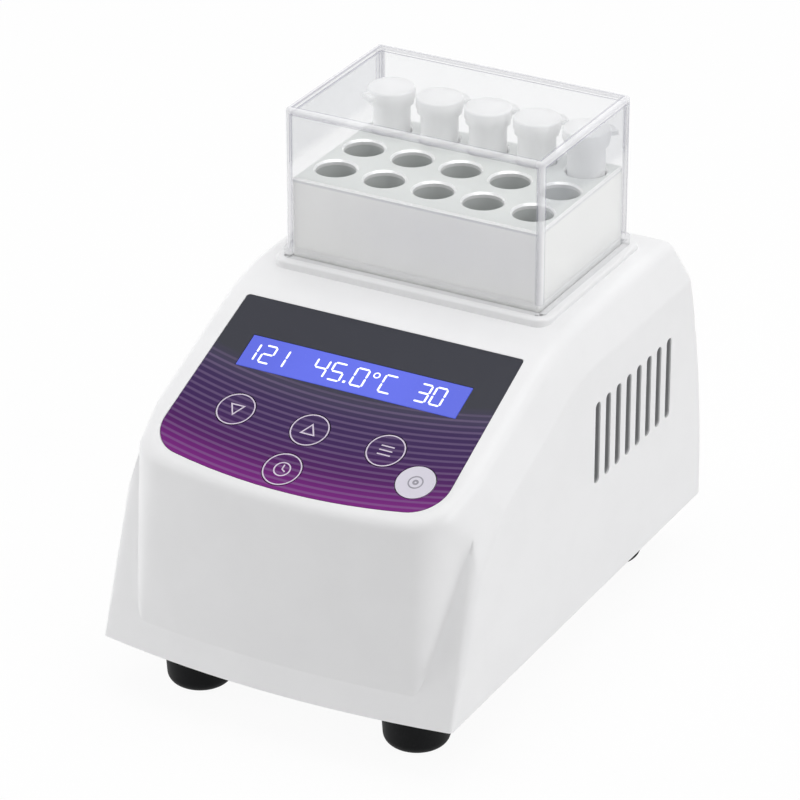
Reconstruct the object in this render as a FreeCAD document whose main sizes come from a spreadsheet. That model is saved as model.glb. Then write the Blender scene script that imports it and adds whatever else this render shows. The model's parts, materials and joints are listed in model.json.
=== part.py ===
import FreeCAD, Part
import math
import os
import re

import Sketcher
from FreeCAD import Placement, Rotation, Vector

# Driving dimensions, in millimetres and degrees
SIZES = {
    # moulded housing
    "body_width": 104.5,
    "body_depth": 155,
    "body_height": 82,
    "wall": 2.6,
    "front_bow": 4.6,
    "front_lean": 19,
    "corner_round_low": 1.2,
    "corner_round_high": 5,
    "rear_tuck": 14,
    "rear_round": 3,
    "panel_slope": 23.4,
    "panel_blend": 60,
    "shoulder_inset": 4.85,
    "shoulder_drop": 12,
    "shoulder_round": 4,
    "side_round": 3,
    "nose_width": 84.2,
    "nose_foot": 8,
    "nose_setback": 2.6,
    "nose_lean": 5.4,
    "nose_flare": 0.6,
    "nose_flank": 32,
    "nose_round_low": 4,
    "nose_round_high": 16,
    "lip_round": 3.2,
    "lip_toe": 9.5,
    "lip_toe_start": 50,
    "lip_crest_round": 3,
    "overrun": 10,
    # vents in the side walls
    "vent_count": 8,
    "vent_pitch": 6.2,
    "vent_width": 3,
    "vent_height": 24,
    "vent_sill": 34.3,
    "vent_front": 7.2,
    "vent_round": 1.3,
    # well, plinth and the parts that heat
    "well_setback": 49.9,
    "front_ledge": 5.5,
    "plinth_height": 1.5,
    "plinth_margin": 2,
    "plinth_round": 4,
    "well_wall": 2,
    "block_width": 74.2,
    "block_depth": 49.2,
    "block_height": 38,
    "block_rise": 24.3,
    "block_gap": 0.4,
    "block_bevel": 0.6,
    "socket_columns": 5,
    "socket_rows": 3,
    "socket_side": 7.5,
    "socket_front": 10.8,
    "socket_rear": 7.4,
    "socket_diameter": 11,
    "socket_depth": 25,
    "socket_cone": 85,
    "socket_mouth": 12.2,
    "socket_mouth_angle": 90,
    "plate_thickness": 5,
    "mat_thickness": 1.5,
    "pad_thickness": 8,
    "tray_thickness": 2,
    "tray_boss_diameter": 7,
    "tray_boss_bury": 1,
    "tray_boss_spread": 30,
    "sensor_diameter": 4,
    "sensor_length": 16,
    "sensor_depth": 3,
    "sensor_offset": 14,
    "cutout_diameter": 16,
    "fit_gap": 0.3,
    # sample tubes
    "tube_gap": 0.3,
    "tube_tip": 2.4,
    "tube_rise": 7.9,
    "tube_rim_diameter": 12.2,
    "tube_rim_height": 1.6,
    "tube_cap_diameter": 13,
    "tube_cap_height": 3,
    "tube_cap_round": 0.6,
    "tube_tab_length": 1.7,
    "tube_tab_width": 4.4,
    "tube_tab_thickness": 1.2,
    "tube_tab_turn": 45,
    "first_tab_turn": 240,
    # clear lid
    "lid_height": 43,
    "lid_wall": 1,
    "lid_top": 1.6,
    "lid_gap": 0.3,
    "lid_corner": 1.4,
    "lid_inner_corner": 0.6,
    "lid_edge": 0.8,
    "lid_rim": 1,
    "lid_rim_height": 2.4,
    # control panel, measured down the slope from the platform's front edge
    "overlay_setback": 10.5,
    "overlay_width": 82.6,
    "overlay_spread": 1.1,
    "overlay_length": 59.2,
    "overlay_bow": 5.3,
    "overlay_corner": 10.5,
    "overlay_top_corner": 1,
    "overlay_thickness": 0.6,
    "overlay_gap": 0.15,
    "window_width": 65.6,
    "window_height": 11.1,
    "window_drop": 12.6,
    "window_gap": 0.2,
    "key_diameter": 10.6,
    "key_gap": 0.3,
    "key_flange": 0.8,
    "key_flange_thickness": 1,
    "key_seat": 0.1,
    "key_stem_diameter": 4,
    "key_stem": 0.5,
    "key_throw": 0.5,
    "down_x": -25,
    "down_drop": 37.7,
    "up_x": -2.5,
    "up_drop": 38.4,
    "program_x": 20.1,
    "program_drop": 38.8,
    "timer_x": -3.3,
    "timer_drop": 52.5,
    "set_x": 32.4,
    "set_drop": 46.1,
    # display stack behind the panel
    "board_thickness": 1.6,
    "display_depth": 9,
    "display_margin": 3,
    "display_boss_diameter": 5.6,
    "display_boss_x": 33.5,
    "display_boss_high": 6.3,
    "display_boss_low": 31.5,
    "lcd_width": 70,
    "lcd_height": 16,
    "lcd_thickness": 2.4,
    "switch_body": 6,
    "switch_height": 3.5,
    "plunger_diameter": 3.5,
    # base plate, feet and fasteners
    "base_thickness": 2.5,
    "base_recess": 2.2,
    "base_gap": 0.3,
    "base_slot_count": 6,
    "base_slot_pitch": 7,
    "base_slot_width": 3,
    "base_slot_length": 34,
    "foot_height": 16.5,
    "foot_top_diameter": 20,
    "foot_bottom_diameter": 17.6,
    "foot_round": 3,
    "foot_recess_diameter": 7,
    "foot_recess": 8,
    "foot_side": 19.35,
    "foot_front": 21.8,
    "foot_rear": 19.5,
    "foot_boss_diameter": 9,
    "foot_boss": 6,
    "screw_diameter": 3,
    "screw_head_diameter": 5.6,
    "screw_head": 2,
    "screw_bite": 7,
    "pilot_gap": 0.15,
    "screw_end_gap": 0.5,
    "screw_hole_gap": 0.3,
    "housing_boss_diameter": 8,
    "housing_boss": 18,
    "housing_boss_bury": 1,
    "housing_boss_front": 26,
    "housing_boss_rear": 14,
    # main board and what stands on it
    "main_board_width": 78,
    "main_board_depth": 88,
    "main_board_y": 4,
    "standoff": 6,
    "standoff_diameter": 6.5,
    "standoff_edge": 5,
    "cap_diameter": 10,
    "cap_height": 16,
    "cap_round": 0.8,
    "cap_pitch": 13,
    "cap_x": -26,
    "cap_y": 30,
    "sink_x": 22,
    "sink_y": 30,
    "sink_width": 20,
    "sink_depth": 12,
    "sink_height": 22,
    "sink_web": 3,
    "sink_fins": 5,
    "sink_fin": 1.6,
    "mosfet_width": 10,
    "mosfet_depth": 4.5,
    "mosfet_height": 15,
    "buzzer_diameter": 12,
    "buzzer_height": 7.5,
    "buzzer_port": 2,
    "buzzer_x": -24,
    "buzzer_y": -20,
    "chip_size": 10,
    "chip_height": 1.4,
    "chip_y": -4,
    "chip_bevel": 0.4,
    "plug_width": 16,
    "plug_depth": 9,
    "plug_height": 10,
    "plug_y": 38,
    "header_width": 18,
    "header_depth": 6,
    "header_height": 8,
    "header_y": -28,
    "display_header_height": 5,
    "display_header_down": 40,
    "ribbon_width": 15,
    "ribbon_thickness": 0.8,
    # back of the housing
    "pocket_width": 50,
    "pocket_height": 30,
    "pocket_sill": 11,
    "pocket_setback": 5.6,
    "switch_x": -12,
    "bezel_width": 15,
    "bezel_height": 21,
    "bezel_depth": 1.8,
    "bezel_round": 1.2,
    "switch_width": 12.6,
    "switch_length": 18.8,
    "switch_depth": 14,
    "switch_wall": 1,
    "rocker_gap": 0.35,
    "rocker_reach": 3.4,
    "rocker_dish": 1.4,
    "rocker_back": 3,
    "rocker_tilt": 7,
    "rocker_floor": 5,
    "pivot_diameter": 2,
    "jack_x": 13,
    "jack_diameter": 8,
    "jack_flange_diameter": 11,
    "jack_flange": 1.4,
    "jack_length": 12,
    "jack_bore": 5.6,
    "jack_bore_depth": 9,
    "jack_pin": 2,
    "nut_width": 12,
    "nut_thickness": 2.4,
}

# Sizes that follow from the driving ones
DERIVED = {
    "panel_rise": "tan(panel_slope * 1deg)",
    "panel_cos": "cos(panel_slope * 1deg)",
    "front_run": "tan(front_lean * 1deg)",
    "front_limit": "body_depth / 2 + overrun",
    "lid_width": "block_width + 2 * (lid_gap + lid_wall)",
    "lid_depth": "block_depth + 2 * (lid_gap + lid_wall)",
    "well_y": "body_depth / 2 - well_setback",
    "panel_break": "well_y - lid_depth / 2 - front_ledge",
    "block_low": "body_height + block_rise - block_height",
    "plate_low": "block_low - plate_thickness",
    "mat_low": "plate_low - mat_thickness",
    "tray_high": "mat_low - pad_thickness",
    "tray_low": "tray_high - tray_thickness",
    "well_width": "block_width + 2 * block_gap",
    "well_depth": "block_depth + 2 * block_gap",
    "column_pitch": "(block_width - 2 * socket_side) / (socket_columns - 1)",
    "row_pitch": "(block_depth - socket_front - socket_rear) / (socket_rows - 1)",
    "tray_boss_x": "well_width / 2 + well_wall + tray_boss_diameter / 2 - tray_boss_bury",
    "tray_width": "2 * tray_boss_x + tray_boss_diameter",
    "tray_depth": "well_depth + 2 * well_wall",
    "overlay_foot": "overlay_setback + overlay_length",
    "key_hole": "key_diameter + 2 * key_gap",
    "flange_top": "wall + key_seat",
    "stem_top": "flange_top + key_flange_thickness",
    "stem_low": "stem_top + key_stem",
    "base_top": "base_recess + base_thickness",
    "foot_x": "body_width / 2 - foot_side",
    "foot_front_y": "foot_front - body_depth / 2",
    "foot_rear_y": "body_depth / 2 - foot_rear",
    "screw_hole": "screw_diameter + 2 * screw_hole_gap",
    "pilot": "screw_diameter + 2 * pilot_gap",
    "housing_boss_x": "body_width / 2 - wall - housing_boss_diameter / 2 + housing_boss_bury",
    "housing_boss_front_y": "housing_boss_front - body_depth / 2",
    "housing_boss_rear_y": "body_depth / 2 - housing_boss_rear",
    "board_low": "base_top + standoff",
    "board_top": "board_low + board_thickness",
    "standoff_x": "main_board_width / 2 - standoff_edge",
    "standoff_y": "main_board_depth / 2 - standoff_edge",
    "pocket_floor": "body_depth / 2 - pocket_setback",
    "pocket_z": "pocket_sill + pocket_height / 2",
    "lcd_down": "overlay_setback + window_drop + window_height / 2",
    "header_top": "board_top + header_height",
    "rocker_radius": "switch_length / 2 - switch_wall - rocker_gap",
    "rocker_width": "switch_width - 2 * switch_wall - 2 * rocker_gap",
    "jack_tip": "pocket_floor + jack_flange",
}

KEYS = ("down", "up", "program", "timer", "set")
FEET = {
    "front_left": ("-foot_x", "foot_front_y"),
    "front_right": ("foot_x", "foot_front_y"),
    "rear_left": ("-foot_x", "foot_rear_y"),
    "rear_right": ("foot_x", "foot_rear_y"),
}
TUBES = 5
CAPACITORS = 2
NUT_SIDES = 6
NEAR = 0.01
WORD = re.compile(r"[a-z][a-z_]*")

DOC = FreeCAD.newDocument("dry_block_heater")
SHEET = DOC.addObject("Spreadsheet::Sheet", "Sizes")
PARTS = []


def fill_sheet():
    """Write each driving dimension to a cell of its own."""
    for row, (name, size) in enumerate(SIZES.items(), start=1):
        SHEET.set(f"A{row}", name)
        SHEET.set(f"B{row}", str(size))
        SHEET.setAlias(f"B{row}", name)
    DOC.recompute()


def expr(formula):
    """Write a formula in the names of sizes as one that reads the sheet."""
    def named(match):
        word = match.group()
        if word in DERIVED:
            return "(" + expr(DERIVED[word]) + ")"
        return "Sizes." + word if word in SIZES else word
    return WORD.sub(named, str(formula))


def value(formula):
    """Work a formula out as a number."""
    return float(SHEET.evalExpression(expr(formula)))


def bind(item, **formulas):
    """Tie properties of an object to the sheet."""
    for name, formula in formulas.items():
        item.setExpression(name, expr(formula))


def place(item, x="0", y="0", z="0"):
    """Tie an object's place to the sheet."""
    for axis, formula in zip("xyz", (x, y, z)):
        item.setExpression("Placement.Base." + axis, expr(formula))


def turn(item, axis, angle):
    """Turn an object about an axis by an angle that follows the sheet."""
    item.Placement = Placement(Vector(), Rotation(axis, 1))
    item.setExpression("Placement.Rotation.Angle", expr(f"({angle}) * 1deg"))


def on_panel(item, x="0", down="0", depth="0", lift="0"):
    """Stand an object square to the sloping panel, down the slope and below its face."""
    turn(item, Vector(1, 0, 0), "panel_slope")
    sin_slope = "sin(panel_slope * 1deg)"
    y = f"panel_break - ({down}) * panel_cos + ({depth}) * {sin_slope}"
    z = f"body_height - ({down}) * {sin_slope} - ({depth}) * panel_cos + ({lift})"
    place(item, x, y, z)


def keep(item, label, x="0", y="0", z="0"):
    """Keep an object as a sub-part, at a place above the plane of the housing's foot."""
    item.Label = label
    place(item, x, y, f"{z} + foot_height")
    PARTS.append(item)


def keep_on_panel(item, label, x="0", down="0", depth="0"):
    """Keep an object as a sub-part that lies square to the sloping panel."""
    item.Label = label
    on_panel(item, x, down, depth, "foot_height")
    PARTS.append(item)


def box(name, width, depth, height, x="0", y="0", z="0"):
    """Add a box centred on x and y that stands on z."""
    item = DOC.addObject("Part::Box", name)
    bind(item, Length=width, Width=depth, Height=height)
    place(item, f"({x}) - ({width}) / 2", f"({y}) - ({depth}) / 2", z)
    return item


def rod(name, diameter, height, x="0", y="0", z="0", axis=None):
    """Add a cylinder whose foot is at a point, upright or along the axis given."""
    item = DOC.addObject("Part::Cylinder", name)
    bind(item, Radius=f"({diameter}) / 2", Height=height)
    if axis:
        item.Placement = Placement(Vector(), Rotation(Vector(0, 0, 1), axis))
    place(item, x, y, z)
    return item


def fuse(name, items):
    """Join solids."""
    joined = DOC.addObject("Part::MultiFuse", name)
    joined.Shapes = items
    joined.Refine = True
    return joined


def common(name, items):
    """Keep what solids share."""
    shared = DOC.addObject("Part::MultiCommon", name)
    shared.Shapes = items
    shared.Refine = True
    return shared


def cut(name, base, tools):
    """Take solids away from a base."""
    result = DOC.addObject("Part::Cut", name)
    result.Base = base
    result.Tool = tools[0] if len(tools) == 1 else fuse(name + "_tools", tools)
    result.Refine = True
    return result


def middle(edge):
    """Find the point half way along an edge."""
    return edge.valueAt((edge.FirstParameter + edge.LastParameter) / 2)


def runs_along(edge, axis):
    """Say whether an edge is parallel to one of the axes X, Y and Z."""
    bounds = edge.BoundBox
    lengths = {"X": bounds.XLength, "Y": bounds.YLength, "Z": bounds.ZLength}
    own = lengths.pop(axis)
    return own > NEAR and max(lengths.values()) < NEAR


def round_solid(name, base, pick, low, high=None):
    """Round the edges of a solid that pick accepts, from one radius at their foot to one at their top."""
    DOC.recompute()
    rounded = DOC.addObject("Part::Fillet", name)
    rounded.Base = base
    edges = []
    for number, edge in enumerate(base.Shape.Edges, start=1):
        if pick(edge):
            upward = edge.valueAt(edge.FirstParameter).z < edge.valueAt(edge.LastParameter).z
            radii = [value(low), value(high or low)]
            edges.append((number, *(radii if upward else radii[::-1])))
    rounded.Edges = edges
    return rounded


def new_body(name):
    """Add an empty body."""
    return DOC.addObject("PartDesign::Body", name)


def outline(owner, name, corners, arcs=None, plane="XY_Plane"):
    """Draw a closed outline that follows the sheet.

    The corners are pairs of formulas. arcs gives the radius of each side that is round, by the number of
    the corner it starts from; it bulges outwards where the corners run anticlockwise.
    """
    arcs = arcs or {}
    if owner is DOC:
        sketch = DOC.addObject("Sketcher::SketchObject", name)
    else:
        sketch = owner.newObject("Sketcher::SketchObject", name)
        planes = {feature.Role: feature for feature in owner.Origin.OriginFeatures}
        sketch.AttachmentSupport = [(planes[plane], "")]
        sketch.MapMode = "FlatFace"
    points = [Vector(value(x), value(y), 0) for x, y in corners]
    count = len(points)
    for side, start in enumerate(points):
        end = points[(side + 1) % count]
        if side in arcs:
            chord = end - start
            radius = value(arcs[side])
            sag = radius - math.sqrt(radius ** 2 - chord.Length ** 2 / 4)
            outward = Vector(chord.y, -chord.x, 0).normalize()
            sketch.addGeometry(Part.Arc(start, (start + end) / 2 + outward * sag, end), False)
        else:
            sketch.addGeometry(Part.LineSegment(start, end), False)
    for side in range(count):
        sketch.addConstraint(Sketcher.Constraint("Coincident", side, 2, (side + 1) % count, 1))
    for side, (x, y) in enumerate(corners):
        for kind, formula in (("DistanceX", x), ("DistanceY", y)):
            if formula == "0":
                axis = -2 if kind == "DistanceX" else -1
                sketch.addConstraint(Sketcher.Constraint("PointOnObject", side, 1, axis))
            else:
                distance = Sketcher.Constraint(kind, -1, 1, side, 1, value(formula))
                number = sketch.addConstraint(distance)
                sketch.setExpression(f"Constraints[{number}]", expr(formula))
    for side, radius in arcs.items():
        number = sketch.addConstraint(Sketcher.Constraint("Radius", side, value(radius)))
        sketch.setExpression(f"Constraints[{number}]", expr(radius))
    return sketch


def pad(body, sketch, length, sides="One side", reverse=False):
    """Raise a sketch into a solid."""
    feature = body.newObject("PartDesign::Pad", sketch.Name + "_pad")
    feature.Profile = sketch
    feature.SideType = sides
    feature.Reversed = reverse
    bind(feature, Length=length)
    return feature


def revolve(body, sketch):
    """Turn a sketch about its upright axis."""
    feature = body.newObject("PartDesign::Revolution", sketch.Name + "_turned")
    feature.Profile = sketch
    feature.ReferenceAxis = (sketch, ["V_Axis"])
    feature.Angle = 360
    return feature


def dress(body, kind, pick, **formulas):
    """Round or bevel the edges of a body that pick accepts."""
    DOC.recompute()
    base = body.Tip
    feature = body.newObject("PartDesign::" + kind, body.Name + "_" + kind.lower())
    picked = [f"Edge{n}" for n, edge in enumerate(base.Shape.Edges, start=1) if pick(edge)]
    feature.Base = (base, picked)
    bind(feature, **formulas)
    return feature


def rectangle(width, depth):
    """Give the corners of a rectangle about the origin."""
    right, far = f"({width}) / 2", f"({depth}) / 2"
    left, near = f"-({width}) / 2", f"-({depth}) / 2"
    return [(left, near), (right, near), (right, far), (left, far)]


def slab(name, width, depth, height, x="0", y="0", z="0"):
    """Add a body with a rectangular plan, to be dressed."""
    body = new_body(name)
    pad(body, outline(body, name + "_plan", rectangle(width, depth)), height)
    place(body, x, y, z)
    return body


def turned(name, corners, arcs=None):
    """Add a body turned about Z from an outline of radii and heights."""
    body = new_body(name)
    revolve(body, outline(body, name + "_profile", corners, arcs, plane="XZ_Plane"))
    return body


# The housing's outer form, and the same form set in by the wall for its hollow


def half_cap(name, half, run_in, fall, inset, rounds):
    """Make the right half of the form under the top: rear arc, platform, panel and cut shoulder."""
    body = new_body(name)
    front, rear, top = "-front_limit", f"body_depth / 2 - {inset}", f"body_height - {inset}"
    turn_y = f"panel_break + {inset} * tan(panel_slope / 2 * 1deg)"
    front_top = f"body_height - (panel_break + front_limit) * panel_rise - {inset} / panel_cos"
    corners = [(front, "0"), (rear, "0"), (f"{rear} - rear_tuck", top), (turn_y, top),
               (front, front_top)]
    rear_radius = f"(({top}) ^ 2 + rear_tuck ^ 2) / (2 * rear_tuck)"
    pad(body, outline(body, name + "_side", corners, {1: rear_radius}, "YZ_Plane"), half)
    x, y, z = value(half), value(turn_y), value(top)
    dress(body, "Fillet", lambda e: middle(e).distanceToPoint(Vector(x / 2, y, z)) < NEAR,
          Radius=f"panel_blend - {inset}")

    def on_shoulder(edge, at):
        point = middle(edge)
        flat = edge.BoundBox.XLength < NEAR and abs(point.x - at) < NEAR
        ahead = value(front) + NEAR < point.y < value(f"{rear} - rear_tuck") - NEAR
        return flat and ahead and point.z > value("nose_foot")

    bevel = dress(body, "Chamfer", lambda e: on_shoulder(e, x), Size=run_in, Size2=fall)
    bevel.ChamferType = "Two distances"
    DOC.recompute()
    crest = x - value(run_in)
    if not any(on_shoulder(edge, crest) for edge in bevel.Shape.Edges):
        bevel.FlipDirection = True
    if rounds:
        dress(body, "Fillet", lambda e: on_shoulder(e, crest), Radius="shoulder_round")
    if rounds == "both":
        dress(body, "Fillet", lambda e: on_shoulder(e, x), Radius="side_round")
    return body


def cap(name, half, run_in, fall, inset="0", rounds=None):
    """Mirror the half cap into the whole form under the top."""
    right = half_cap(name + "_right", half, run_in, fall, inset, rounds)
    left = DOC.addObject("Part::Mirroring", name + "_left")
    left.Source = right
    left.Normal = Vector(1, 0, 0)
    return fuse(name, [right, left])


def bowed_plan(name, inset, front_inset, z, back="front_limit"):
    """Draw the plan of the housing, bowed at the front."""
    half = f"(body_width / 2 - {inset})"
    corner_y = f"front_bow - body_depth / 2 + {front_inset}"
    corners = [(f"-{half}", corner_y), (half, corner_y), (half, back), (f"-{half}", back)]
    plan = outline(DOC, name, corners, {0: f"({half} ^ 2 + front_bow ^ 2) / (2 * front_bow)"})
    place(plan, z=z)
    return plan


def raise_plan(name, plan, height, lean="0"):
    """Raise a plan, leaning back as it goes."""
    raised = DOC.addObject("Part::Extrusion", name)
    raised.Base = plan
    raised.DirMode = "Custom"
    raised.Dir = Vector(0, value(f"({height}) * {lean}"), value(height))
    raised.setExpression("Dir.y", expr(f"({height}) * {lean}"))
    raised.setExpression("Dir.z", expr(f"({height}) * 1"))
    raised.Solid = True
    return raised


def hull(name, inset="0"):
    """Make the outer walls, with a front that leans back."""
    plan = bowed_plan(name + "_plan", inset, f"{inset} / cos(front_lean * 1deg)", "0")
    return raise_plan(name, plan, "body_height + overrun", "front_run")


def nose(name, inset="0"):
    """Make the nose that stands out from the leaning front, wider towards its top."""
    bow_radius = "((body_width / 2) ^ 2 + front_bow ^ 2) / (2 * front_bow)"
    side_inset = f"{inset} * (1 / cos(nose_flank * 1deg) - tan(nose_flank * 1deg))"
    sections = []
    for level, z in (("low", "nose_foot / 2"), ("high", "body_height - overrun")):
        rise = f"({z} - nose_foot)"
        half = f"(nose_width / 2 + {rise} * tan(nose_flare * 1deg) - {side_inset})"
        centre = f"nose_setback - body_depth / 2 + {rise} * tan(nose_lean * 1deg) + {inset}"
        corner_y = f"({centre} + {bow_radius} - sqrt(({bow_radius}) ^ 2 - {half} ^ 2))"
        back = "body_depth / 2"
        wide = f"({half} + {back} * tan(nose_flank * 1deg))"
        corners = [(f"-{half}", corner_y), (half, corner_y),
                   (wide, f"{corner_y} + {back}"), (f"-{wide}", f"{corner_y} + {back}")]
        sketch = outline(DOC, f"{name}_{level}", corners, {0: bow_radius})
        place(sketch, z=z)
        sections.append(sketch)
    loft = DOC.addObject("Part::Loft", name + "_loft")
    loft.Sections = sections
    loft.Solid = True
    loft.Ruled = True
    front = value("-body_depth / 4")
    tall = value("body_height / 2")
    return round_solid(name, loft, lambda e: e.BoundBox.ZLength > tall and middle(e).y < front,
                       f"nose_round_low - {inset}", f"nose_round_high - {inset}")


def lip_cap(name, inset="0", crest_round=None):
    """Make the form under the panel, its shoulders drawn in towards the lip."""
    body = new_body(name)
    crest = f"body_width / 2 - shoulder_inset - {inset}"
    draw = "tan(lip_toe * 1deg)"
    narrow = f"{crest} - (body_depth - lip_toe_start) * {draw}"
    wide = f"{crest} + (body_depth + lip_toe_start) * {draw}"
    corners = [(f"-({narrow})", "-body_depth"), (narrow, "-body_depth"),
               (wide, "body_depth"), (f"-({wide})", "body_depth")]
    block = pad(body, outline(body, name + "_plan", corners), "body_depth", reverse=True)
    bind(block, TaperAngle="atan(shoulder_inset / shoulder_drop)")
    long = value("body_depth")
    if crest_round:
        dress(body, "Fillet", lambda e: abs(middle(e).z) < NEAR and e.BoundBox.YLength > long,
              Radius=crest_round)
    on_panel(body, depth=inset)
    return body


def outer_form():
    """Make the housing's outer form, rounded where hands and light meet it."""
    half = "body_width / 2"
    spread = "(shoulder_inset + overrun) / shoulder_inset"
    wide = cap("wide_cap", f"{half} + overrun", f"shoulder_inset * {spread}",
               f"shoulder_drop * {spread}", rounds="crest")
    topped = common("topped_nose", [nose("nose"), wide])
    front, tall = value("-body_depth / 4"), value("body_height / 2")

    def round_the_lip(edge):
        point = middle(edge)
        ahead = point.y < front and point.z > tall / 2 and edge.BoundBox.ZLength < tall
        return ahead and edge.Curve.TypeId != "Part::GeomLine"

    lipped = round_solid("lipped_nose", topped, round_the_lip, "lip_round")
    walls = hull("walls")

    def front_corner(edge):
        at_side = edge.BoundBox.XLength < NEAR and abs(abs(middle(edge).x) - value(half)) < NEAR
        ahead = middle(edge).y < value("front_limit") - NEAR
        return at_side and ahead and edge.BoundBox.ZLength > tall

    soft_walls = round_solid("soft_walls", walls, front_corner, "corner_round_low", "corner_round_high")
    true_cap = cap("true_cap", half, "shoulder_inset", "shoulder_drop", rounds="both")
    whole = common("whole_form", [fuse("nose_on_walls", [lipped, soft_walls]), true_cap])
    toed = common("toed_form", [whole, lip_cap("lip_cap", crest_round="lip_crest_round")])
    rear = value("body_depth / 2 - rear_tuck")
    return round_solid("outer_form", toed,
                       lambda e: middle(e).y > rear - NEAR and middle(e).z > NEAR, "rear_round")


def hollow_form():
    """Make the hollow of the housing, a wall's thickness inside its outer form."""
    inner_cap = cap("inner_cap", "body_width / 2 - wall", "shoulder_inset", "shoulder_drop", "wall")
    inner_walls = fuse("inner_walls", [nose("inner_nose", "wall"), hull("inner_hull", "wall")])
    capped = common("inner_form", [inner_walls, inner_cap])
    return common("hollow_form", [capped, lip_cap("inner_lip_cap", "wall")])


def vent_slots():
    """Make the row of upright slots that pass through both side walls."""
    body = new_body("vent_slots")
    body.AllowCompound = True
    near, far = "vent_front", "vent_front + vent_width"
    low, high = "vent_sill", "vent_sill + vent_height"
    corners = [(near, low), (far, low), (far, high), (near, high)]
    sketch = outline(body, "vent_side", corners, plane="YZ_Plane")
    first = pad(body, sketch, "body_width + overrun", "Symmetric")
    row = body.newObject("PartDesign::LinearPattern", "vent_row")
    row.Originals = [first]
    row.Direction = (sketch, ["H_Axis"])
    bind(row, Length="(vent_count - 1) * vent_pitch", Occurrences="vent_count")
    body.Tip = row
    dress(body, "Fillet", lambda e: runs_along(e, "X"), Radius="vent_round")
    return body


def overlay_form(name, grow, thickness, depth):
    """Make a plate with the control panel's outline, grown by a margin, below the panel's face."""
    body = new_body(name)
    half = f"(overlay_width / 2 + {grow})"
    wide = f"({half} + overlay_spread)"
    top, low = f"{grow} - overlay_setback", f"-(overlay_foot + {grow})"
    corner_y = f"{low} + overlay_bow"
    corners = [(f"-{wide}", corner_y), (wide, corner_y), (half, top), (f"-{half}", top)]
    bow_radius = f"({wide} ^ 2 + overlay_bow ^ 2) / (2 * overlay_bow)"
    pad(body, outline(body, name + "_plan", corners, {0: bow_radius}), thickness, reverse=True)
    split = value("-overlay_foot / 2")
    high = value(top) - NEAR
    dress(body, "Fillet", lambda e: runs_along(e, "Z") and middle(e).y < split,
          Radius=f"overlay_corner + {grow}")
    dress(body, "Fillet", lambda e: runs_along(e, "Z") and middle(e).y > high,
          Radius="overlay_top_corner")
    place(body, z=f"-({depth})")
    return body


def key_place(key):
    """Give a key's place on the panel, across and down the slope."""
    return f"{key}_x", f"-(overlay_setback + {key}_drop)"


def panel_holes(name, depth):
    """Make the holes for the keys and the display window, in the panel's frame."""
    holes = []
    height, low = f"{depth} + 2 * overrun", f"-({depth} + overrun)"
    for key in KEYS:
        x, y = key_place(key)
        holes.append(rod(f"{name}_{key}", "key_hole", height, x, y, low))
    holes.append(box(name + "_window", "window_width", "window_height", height, y="-lcd_down", z=low))
    return holes


def display_bosses():
    """Give the places of the four bosses that carry the display board."""
    low = ("-(overlay_setback + display_boss_high)", "-(overlay_setback + display_boss_low)")
    return [(x, y) for x in ("-display_boss_x", "display_boss_x") for y in low]


def housing_bosses():
    """Give the places of the four bosses that the base plate is screwed to."""
    return [(x, y) for x in ("-housing_boss_x", "housing_boss_x")
            for y in ("housing_boss_front_y", "housing_boss_rear_y")]


def tray_bosses():
    """Give the places of the four bosses that the heater tray is screwed to."""
    return [(x, f"well_y + {side} * tray_boss_spread / 2") for x in ("-tray_boss_x", "tray_boss_x")
            for side in (-1, 1)]


def upper_housing():
    """Make the moulded housing: shell, plinth, well, bosses and all that is cut in it."""
    outer = outer_form()
    shell = cut("shell", outer, [hollow_form(), vent_slots()])
    border = "2 * (lid_rim + plinth_margin)"
    plinth = slab("plinth", f"lid_width + {border}", f"lid_depth + {border}", "wall + plinth_height",
                  y="well_y", z="body_height - wall")
    plinth_top = value("wall + plinth_height")
    dress(plinth, "Fillet", lambda e: runs_along(e, "Z"), Radius="plinth_round")
    dress(plinth, "Fillet", lambda e: middle(e).z > plinth_top - NEAR, Radius="plinth_height / 2")
    collar = box("well_collar", "well_width + 2 * well_wall", "well_depth + 2 * well_wall",
                 "body_height - tray_high", y="well_y", z="tray_high")
    back_block = box("back_block", "pocket_width + 2 * wall", "2 * (pocket_setback + wall)",
                     "pocket_height + 2 * wall", y="body_depth / 2", z="pocket_sill - wall")
    added = [shell, plinth, collar, common("back_island", [outer, back_block])]
    taken = [box("well", "well_width", "well_depth", "body_height", y="well_y", z="tray_high - overrun")]
    for number, (x, y) in enumerate(tray_bosses(), start=1):
        added.append(rod(f"tray_boss_{number}", "tray_boss_diameter", "body_height - wall / 2 - tray_high",
                         x, y, "tray_high"))
        taken.append(rod(f"tray_pilot_{number}", "pilot", "screw_bite", x, y, "tray_high"))
    for number, (x, y) in enumerate(housing_bosses(), start=1):
        added.append(rod(f"housing_boss_{number}", "housing_boss_diameter", "housing_boss", x, y,
                         "base_top"))
        taken.append(rod(f"housing_pilot_{number}", "pilot", "screw_bite", x, y, "base_top"))
    posts, sinks = [], []
    for number, (x, y) in enumerate(display_bosses(), start=1):
        posts.append(rod(f"display_boss_{number}", "display_boss_diameter", "display_depth - wall / 2",
                         x, y, "-display_depth"))
        sinks.append(rod(f"display_pilot_{number}", "pilot", "display_depth - wall", x, y,
                         "-display_depth"))
    panel_posts = fuse("panel_posts", posts)
    on_panel(panel_posts)
    recess = overlay_form("overlay_recess", "overlay_gap", "overlay_thickness + overrun", "-overrun")
    openings = fuse("panel_openings", panel_holes("panel_hole", "wall") + sinks + [recess])
    on_panel(openings)
    taken += [openings] + back_openings()
    return cut("upper_housing", fuse("housing_solid", added + [panel_posts]), taken)


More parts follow.
